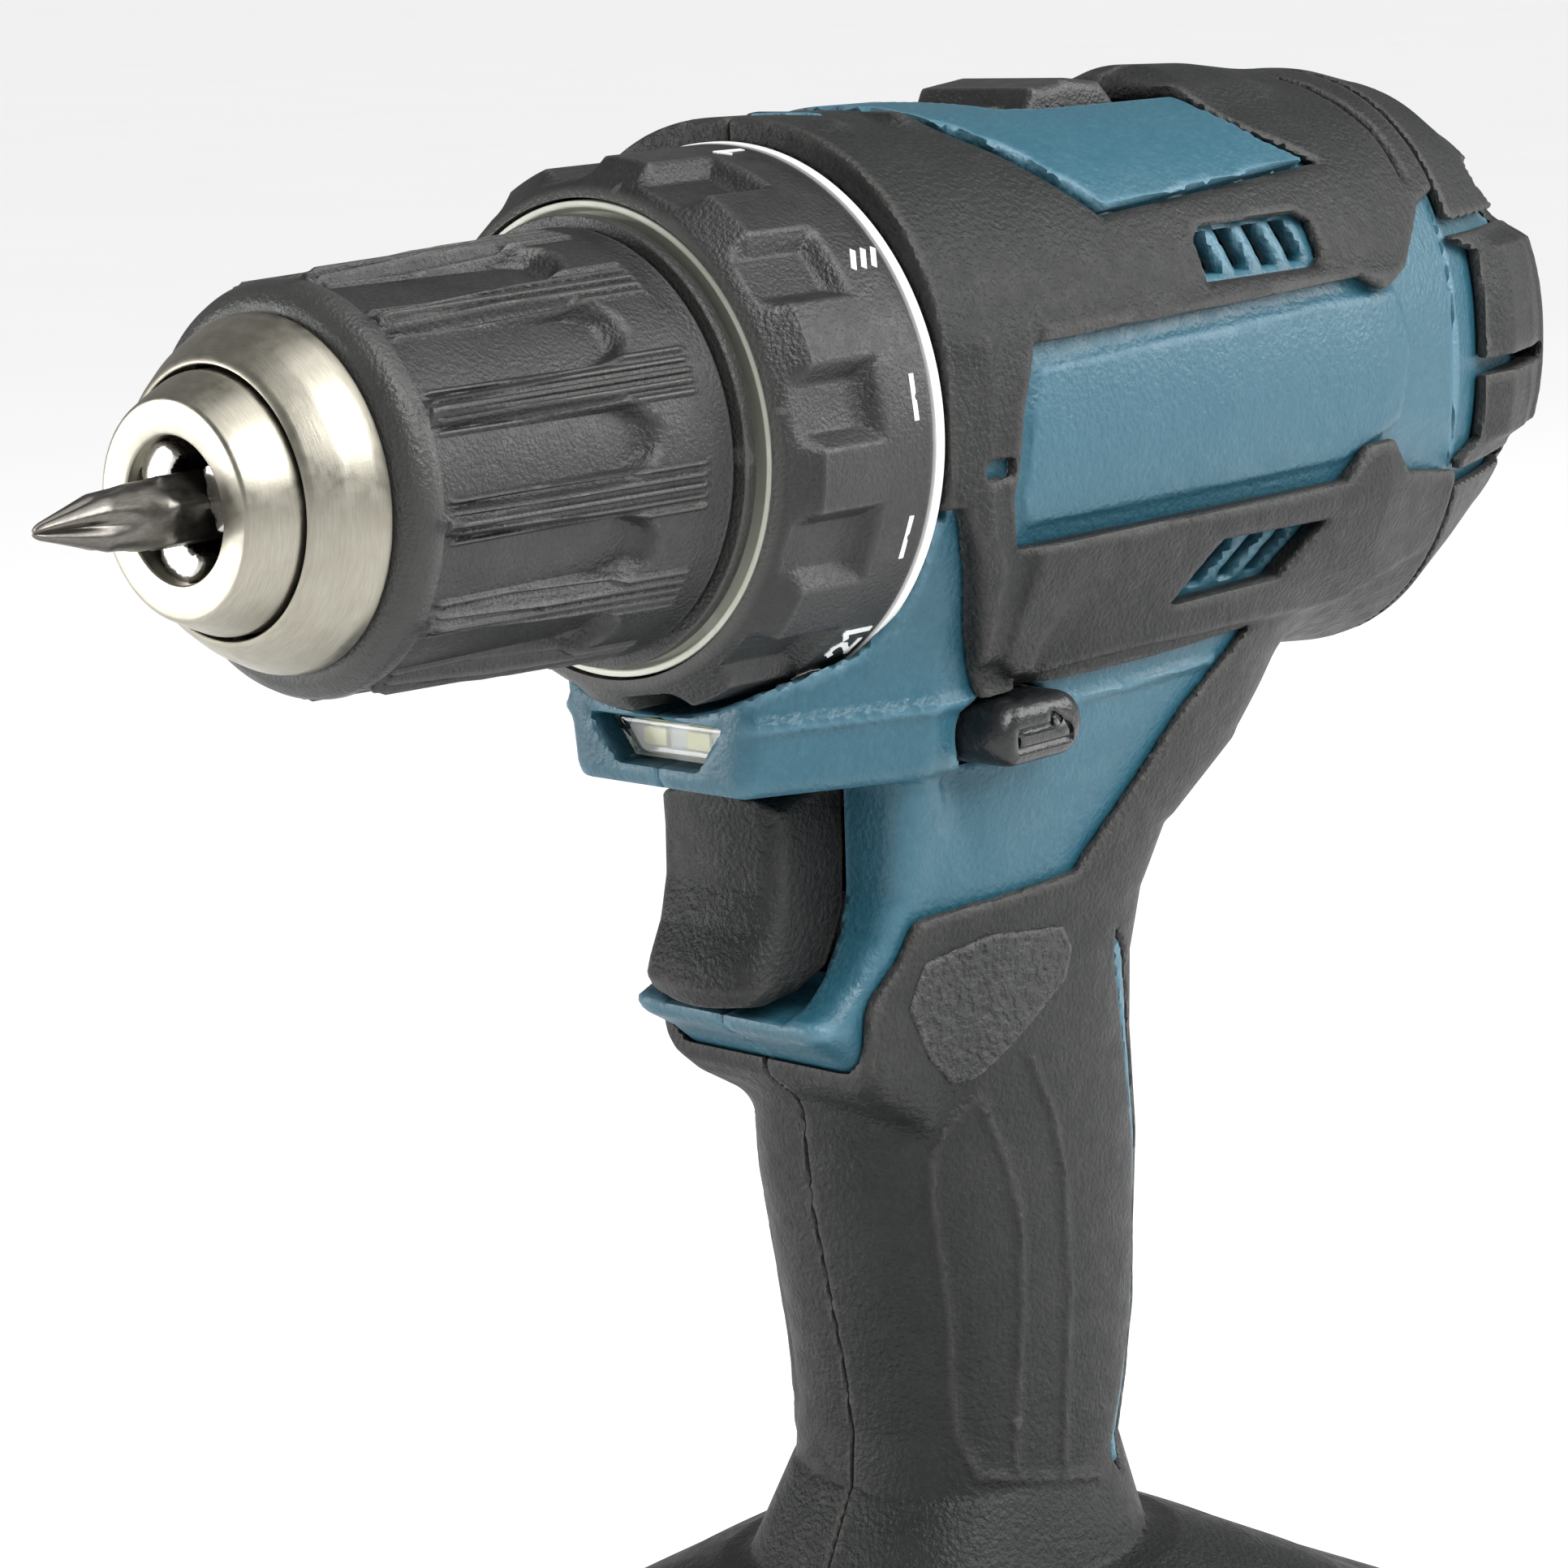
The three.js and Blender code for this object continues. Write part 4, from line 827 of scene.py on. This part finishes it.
def make_chuck():
    straight = [(20.3 + (d - 16) / 33.6, -d) for d in steps(16.3, 49.4, 0.55)]
    front = [(17.3, -11.9), (18.2, -12.2), (19.2, -13.0), (19.6, -13.8), (19.75, -14.8),
             (19.85, -15.3), (19.9, -15.45), (20.28, -15.7), (20.3, -15.9)]
    rear = [(21.35, -50.2), (21.5, -50.8), (21.5, -51.2), (21.3, -51.5),
            (18.4, -51.5), (18.2, -51.2), (18.2, -19.5), (15.2, -19.5), (15.2, -12.1)]
    turned("chuck_sleeve_grip", front + straight + rear, "hard_black", "chuck_sleeve",
           ["chuck_sleeve"], 720, sleeve_radius)
    turned("chuck_hood_ring", rounded([
        (12.75, -4.75), (13.59, -5.1), (15.4, -7.6), (16.7, -10.2), (16.98, -11.6), (15.9, -11.7),
        (14.9, -10.6), (12.75, -6.2)], 0.35), "nickel", "chuck_sleeve", ["chuck_hood"], 192)
    body_blank = rounded([
        (6.84, -0.1), (10.25, -0.02), (11.2, -1.9), (12.3, -4.4), (12.3, -14), (14.5, -14.6),
        (14.5, -29), (11.5, -30), (11.5, -51.4), (6.3, -51.4), (6.3, -34), (6.84, -33)], 0.4)
    turned("chuck_nose", body_blank, "nickel", "chuck", ["chuck_body"], 192)
    turned("chuck_shroud_ring", rounded([(11.8, -51.8), (22.7, -51.8), (22.7, -53.4), (11.8, -53.4)]),
           "hard_black", "chuck", ["chuck_rear_ring"], 128)


def make_collar():
    outer = [(24.2, -53.8), (24.9, -54.0), (25.4, -54.4)]
    outer += [(25.4 + 2.6 * t, -54.4 - 3.0 * t) for t in steps(0.05, 1, 0.1)]
    outer += [(28.02 + 0.18 * t / 15.3, -57.6 - t) for t in steps(0.2, 15.2, 0.45)]
    outer += [(28.1, -73.0), (25.1, -73.0), (25.1, -55.6), (24.2, -55.2)]
    turned("torque_collar_shell", outer, "hard_black", "torque_collar", ["torque_collar"], 720,
           collar_radius)
    band = rounded([(25.2, -74.6), (25.2, -73.3), (28.37, -73.3), (28.37, -74.6)], 0.2)
    turned("index_ring_band", band, "white", "torque_collar", ["index_ring"], 256)
    turned("clutch_nut_ring", rounded([
        (15.6, -55.4), (22.8, -55.4), (23.2, -54), (23.9, -54), (23.9, -58.4), (15.6, -58.4)], 0.2),
           "cream", "torque_collar", ["clutch_nut"], 192)


# Strokes of the dial's marks, as (right, forward) for a user who looks along the spindle.
ONE = [[(-0.8, 1.0), (0.2, 1.7), (0.2, -1.7)]]
TWO = [[(-1.0, 1.0), (-0.5, 1.6), (0.4, 1.6), (0.95, 1.0), (0.7, 0.2), (-1.0, -1.6), (1.1, -1.6)]]
NINE = [[(0.9, 0.6), (0.3, 0.0), (-0.5, 0.1), (-0.95, 0.8), (-0.5, 1.5), (0.3, 1.6), (0.9, 0.9),
         (0.8, -0.5), (0.1, -1.6)]]
BAR = [[(-2.0, 0), (2.0, 0)]]
DRILL = [[(-0.8, place + 0.5), (0.8, place - 0.5)] for place in (1.5, 0.0, -1.5)]
# The angle of each mark from the top towards the tool's left, its x, and its strokes.
DIAL = [(11, -69.6, ONE), (52, -70.2, DRILL), (82, -70.6, BAR), (111, -70.6, BAR), (141, -69.9, TWO),
        (135.4, -69.9, ONE), (158, -69.9, ONE), (152.6, -69.9, NINE), (232, -70.6, BAR),
        (262, -70.6, BAR), (292, -70.6, BAR), (322, -70.6, BAR)]
DIAL_RADII = (28.0, 28.27)
STROKE_HALF_WIDTH = 0.33
STROKE_FACES = ((0, 1, 3, 2), (4, 6, 7, 5), (0, 4, 5, 1), (2, 3, 7, 6), (0, 2, 6, 4), (1, 5, 7, 3))


def stroke_points(angle, place, start, end):
    """The eight corners of one straight stroke, bent onto the collar."""
    length = math.hypot(end[0] - start[0], end[1] - start[1])
    du = STROKE_HALF_WIDTH * (end[0] - start[0]) / length
    dv = STROKE_HALF_WIDTH * (end[1] - start[1]) / length
    corners = [(start[0] - du - dv, start[1] - dv + du), (start[0] - du + dv, start[1] - dv - du),
               (end[0] + du - dv, end[1] + dv + du), (end[0] + du + dv, end[1] + dv - du)]
    points = []
    for radius in DIAL_RADII:
        for right, forward in corners:
            turn = math.radians(angle) - right / DIAL_RADII[1]
            points.append((place + forward, radius * math.sin(turn), radius * math.cos(turn)))
    return points


def make_dial():
    """White marks on the collar, as thin raised strokes."""
    points, faces = [], []
    for angle, place, strokes in DIAL:
        for stroke in strokes:
            for start, end in zip(stroke, stroke[1:]):
                faces += [[len(points) + i for i in face] for face in STROKE_FACES]
                points += stroke_points(angle, place, start, end)
    piece("dial_marks", points, faces, "white", "torque_collar")


def make_bit():
    turn = 15.0
    corner = 6.35 / math.sqrt(3)

    def radius_at(radius, x, angle):
        if x <= 2.5:
            flat = 6.35 / 2 / np.cos(np.radians((angle - 75 + 60) % 60 - 30))
            return np.minimum(radius, np.minimum(flat, corner - 0.12))
        share = np.clip((x - 5.2) / 6.5, 0, 1)
        cross = np.abs(fold(angle, 30.0 + turn, 90.0))
        groove = 1 - 0.52 * share * np.exp(-((45 - cross) / 17.0) ** 2)
        return radius * groove

    hexagon = [(0.01, -34), (3.3, -34), (3.7, -33)] + [(3.7, x) for x in steps(-32, 1.6, 2.4)]
    tip = [(3.66, 2.1), (3.3, 2.5), (3.16, 2.9), (3.13, 4.5)]
    tip += [(3.1 - 0.05 * t, 4.5 + t) for t in steps(0.4, 4.0, 0.4)]
    tip += [(2.9 - 1.95 * t, 8.6 + 6.0 * t) for t in steps(0.05, 1, 0.06)]
    tip += [(0.7, 15.1), (0.45, 15.45), (0.01, 15.58)]
    turned("screwdriver_bit", hexagon + tip, "bit_steel", "driver_bit", ["driver_bit"], 144, radius_at)


def make_jaws():
    tilt = math.radians(15)
    for i, angle in enumerate((75, 195, 315)):
        def jaw(x, y, z, angle=angle):
            turn = math.radians(angle)
            up = z * math.cos(turn) + y * math.sin(turn)
            across = y * math.cos(turn) - z * math.sin(turn)
            forward = (x + 1) * math.cos(tilt) - (up - 3.7) * math.sin(tilt)
            rise = (x + 1) * math.sin(tilt) + (up - 3.7) * math.cos(tilt)
            rod = np.sqrt(across ** 2 + rise ** 2) - 3.15
            blank = smooth_max(rod, np.maximum(forward - 0.1, -28 - forward), 1.4)
            face = 3.3 + 0.35 * np.clip(np.abs(across) - 0.6, 0, 1) - up
            return smooth_max(np.maximum(blank, x + 1.45), face, 0.3)
        turn = math.radians(angle)
        centre = (7.2 * math.sin(turn), 7.2 * math.cos(turn))
        lo = (-31, centre[0] - 8.5, centre[1] - 8.5)
        hi = (-0.5, centre[0] + 8.5, centre[1] + 8.5)
        moulded(f"jaw_{i + 1}", jaw, lo, hi, "steel", f"chuck_jaw_{i + 1}", [f"chuck_jaw_{i + 1}"],
                0.4)


# ---- Controls and lamp ----

TRIGGER_SIDE = [
    (-67.2, -37.9), (-67.5, -43), (-67.3, -48), (-66, -52.4), (-64.2, -56), (-63.3, -58.6),
    (-64.6, -60.8), (-68.3, -61.6), (-72.5, -60.4), (-76.1, -57.7), (-79, -52.2), (-79.4, -46),
    (-79.4, -38.3), (-72, -38.2),
]


def make_trigger():
    def trigger(x, y, z):
        side = outline_distance(x, z, TRIGGER_SIDE)
        crown = 0.024 * y * y * np.clip((x + 76) / 8, 0, 1)
        edge = np.interp(x, (-77, -70), (0.5, 2.4)).astype(np.float32)
        finger = smooth_max(side + crown, np.abs(y) - 8.5, edge)
        plunger = box_distance(x, y, z, (-91, -4, -52), (-77, 4, -44), 0.5)
        return np.minimum(finger, plunger)

    moulded("trigger_finger_piece", trigger, (-92, -11, -63.5), (-56, 11, -36.5), "soft_black",
            "trigger", ["trigger"], 0.5)


def make_reverser():
    arrow = [(-87.4, -34.7), (-95.8, -34.7), (-95.8, -33.4), (-92.8, -31.5), (-92.8, -32.8),
             (-87.4, -32.8)]

    def reverser(x, y, z):
        lobe = box_distance(x, 0 * y, z, (-98.5, -20, -36.6), (-84.5, 20, -29.6), 3.4)
        dome = smooth_max(lobe, np.abs(y - 2.5) - 23.9, 2.4)
        engraved = np.maximum(np.abs(outline_distance(x, z, arrow)) - 0.25, 25.7 - y)
        return np.maximum(dome, -engraved)

    moulded("reverser_push_bar", reverser, (-100, -23, -38), (-83, 28, -28.5), "gloss_black",
            "reverser_bar", ["reverser_bar"], 0.45)


def make_lever():
    plan = [(-102.2, 0), (-107, 7.6), (-112, 9.2), (-128, 9.2), (-131.5, 8), (-134.4, 0),
            (-131.5, -8), (-128, -9.2), (-112, -9.2), (-107, -7.6)]
    grip_side = [(-128.8, 27), (-128.5, 29.6), (-126.2, 31.7), (-121, 32.3), (-114.6, 31.6),
                 (-112.2, 27)]

    def lever(x, y, z):
        edge = outline_distance(x, y, plan)
        stairs = np.maximum(edge, np.maximum(z - 27.9, 26.4 - z))
        for i in range(3):
            step = np.maximum(z - 28.6 - 0.55 * i, 27 - z)
            stairs = np.minimum(stairs, np.maximum(edge + 1.4 + 1.5 * i, step))
        stairs = np.maximum(stairs, -114 - x)
        plate = np.maximum(edge, np.maximum(z - 27.6, 26.4 - z))
        knob = smooth_max(outline_distance(x, z, grip_side), np.abs(y) - 8.4, 1.4)
        return np.minimum(np.minimum(stairs, plate), knob)

    moulded("speed_lever_knob", lever, (-136, -11, 25), (-100.5, 11, 33.6), "hard_black",
            "speed_lever", ["speed_lever"], 0.4)


def make_lamp():
    def lens(x, y, z):
        edge = outline_distance(y, z, [(-8.8, -29.9), (8.8, -29.9), (5.4, -34.1), (-5.4, -34.1)])
        return smooth_max(edge, np.maximum(x + 62.7, -65 - x), 0.5)

    def board(x, y, z):
        return box_distance(x, y, z, (-66.8, -7.5, -34.2), (-65.6, 7.5, -30.4), 0.2)

    moulded("lamp_window", lens, (-66, -10, -35.5), (-61.5, 10, -28.5), "lens", "housing",
            ["lamp_lens"], 0.35)
    moulded("lamp_board_plate", board, (-68, -9, -35), (-64.6, 9, -29.5), "board", "housing",
            ["lamp_board"], 0.35)
    for i, centre in enumerate((-3.6, 2.6)):
        def led(x, y, z, centre=centre):
            lo, hi = (-65.6, centre - 1.7, -33.2), (-65.15, centre + 1.7, -31.2)
            return box_distance(x, y, z, lo, hi, 0.15)

        moulded(f"lamp_led_{i + 1}", led, (-66, centre - 2.4, -34), (-64.8, centre + 2.4, -30.4),
                "led", "housing", (), 0.2)


# ---- Battery ----

def make_battery():
    def block(x, y, z, bottom, top):
        plan = box_distance(x, y, 0 * z, (-175, -37.5, -20), (-60, 37.5, 20), 6)
        return smooth_max(plan, np.maximum(z - top, bottom - z), 1.6)

    def latch_pocket(x, y, z):
        return box_distance(x, y, z, (-67, -14, -182), (-50, 14, -160), 0.6)

    def case(x, y, z):
        shape = block(x, y, z, -215.5, -172)
        side = box_distance(x, np.abs(y), z, (-166, 35.9, -207), (-71, 50, -181), 0.6)
        end = box_distance(x, y, z, (-190, -26, -206), (-173.4, 26, -181), 0.6)
        for i in range(7):
            side = np.maximum(side, 0.9 - np.abs(x + 158 - 4.2 * i))
        for i in range(4):
            end = np.maximum(end, 0.9 - np.abs(z + 186 + 5 * i))
        return smooth_max(shape, -np.minimum(np.minimum(side, end), latch_pocket(x, y, z)), 0.4)

    def cover(x, y, z):
        shape = block(x, y, z, -171.7, -162.4)
        post = box_distance(x, y, z, (-151, -25.5, -163), (-62, 25.5, -156), 0.4)
        rail = box_distance(x, y, z, (-151, -30, -159.4), (-62, 30, -151.6), 0.8)
        shape = np.minimum(shape, np.minimum(post, rail))
        for centre in (-9, 0, 9):
            slot = box_distance(x, y, z, (-130, centre - 1.2, -157), (-50, centre + 1.2, -150), 0.2)
            shape = smooth_max(shape, -slot, 0.4)
        return smooth_max(shape, -latch_pocket(x, y, z), 0.4)

    def latch(x, y, z):
        button = box_distance(x, y, z, (-64.4, -13.5, -177), (-59.4, 13.5, -166), 1.2)
        hook = box_distance(x, y, z, (-64.4, -10, -167), (-62, 10, -161.2), 0.4)
        shape = np.minimum(button, hook)
        for height in (-169, -171.5, -174):
            groove = box_distance(x, y, z, (-60.1, -10, height - 0.5), (-50, 10, height + 0.5), 0.2)
            shape = smooth_max(shape, -groove, 0.3)
        return shape

    step = 0.8
    moulded("battery_case_shell", case, (-177, -39, -217.5), (-58, 39, -170),
            "hard_black", "battery", ["battery_case"], step)
    moulded("battery_cover_rails", cover, (-177, -39, -173.5), (-58, 39, -149.5),
            "hard_black", "battery", ["battery_cover"], step)
    moulded("battery_latch_button", latch, (-66, -15, -178.5), (-57.5, 15, -160),
            "teal", "battery_latch", ["battery_latch"], 0.5)


set_camera()
set_stage()
dress_cad_nodes()
make_housing()
make_grip_pads()
make_pointer()
make_rear()
make_chuck()
make_collar()
make_dial()
make_bit()
make_jaws()
make_trigger()
make_reverser()
make_lever()
make_lamp()
make_battery()
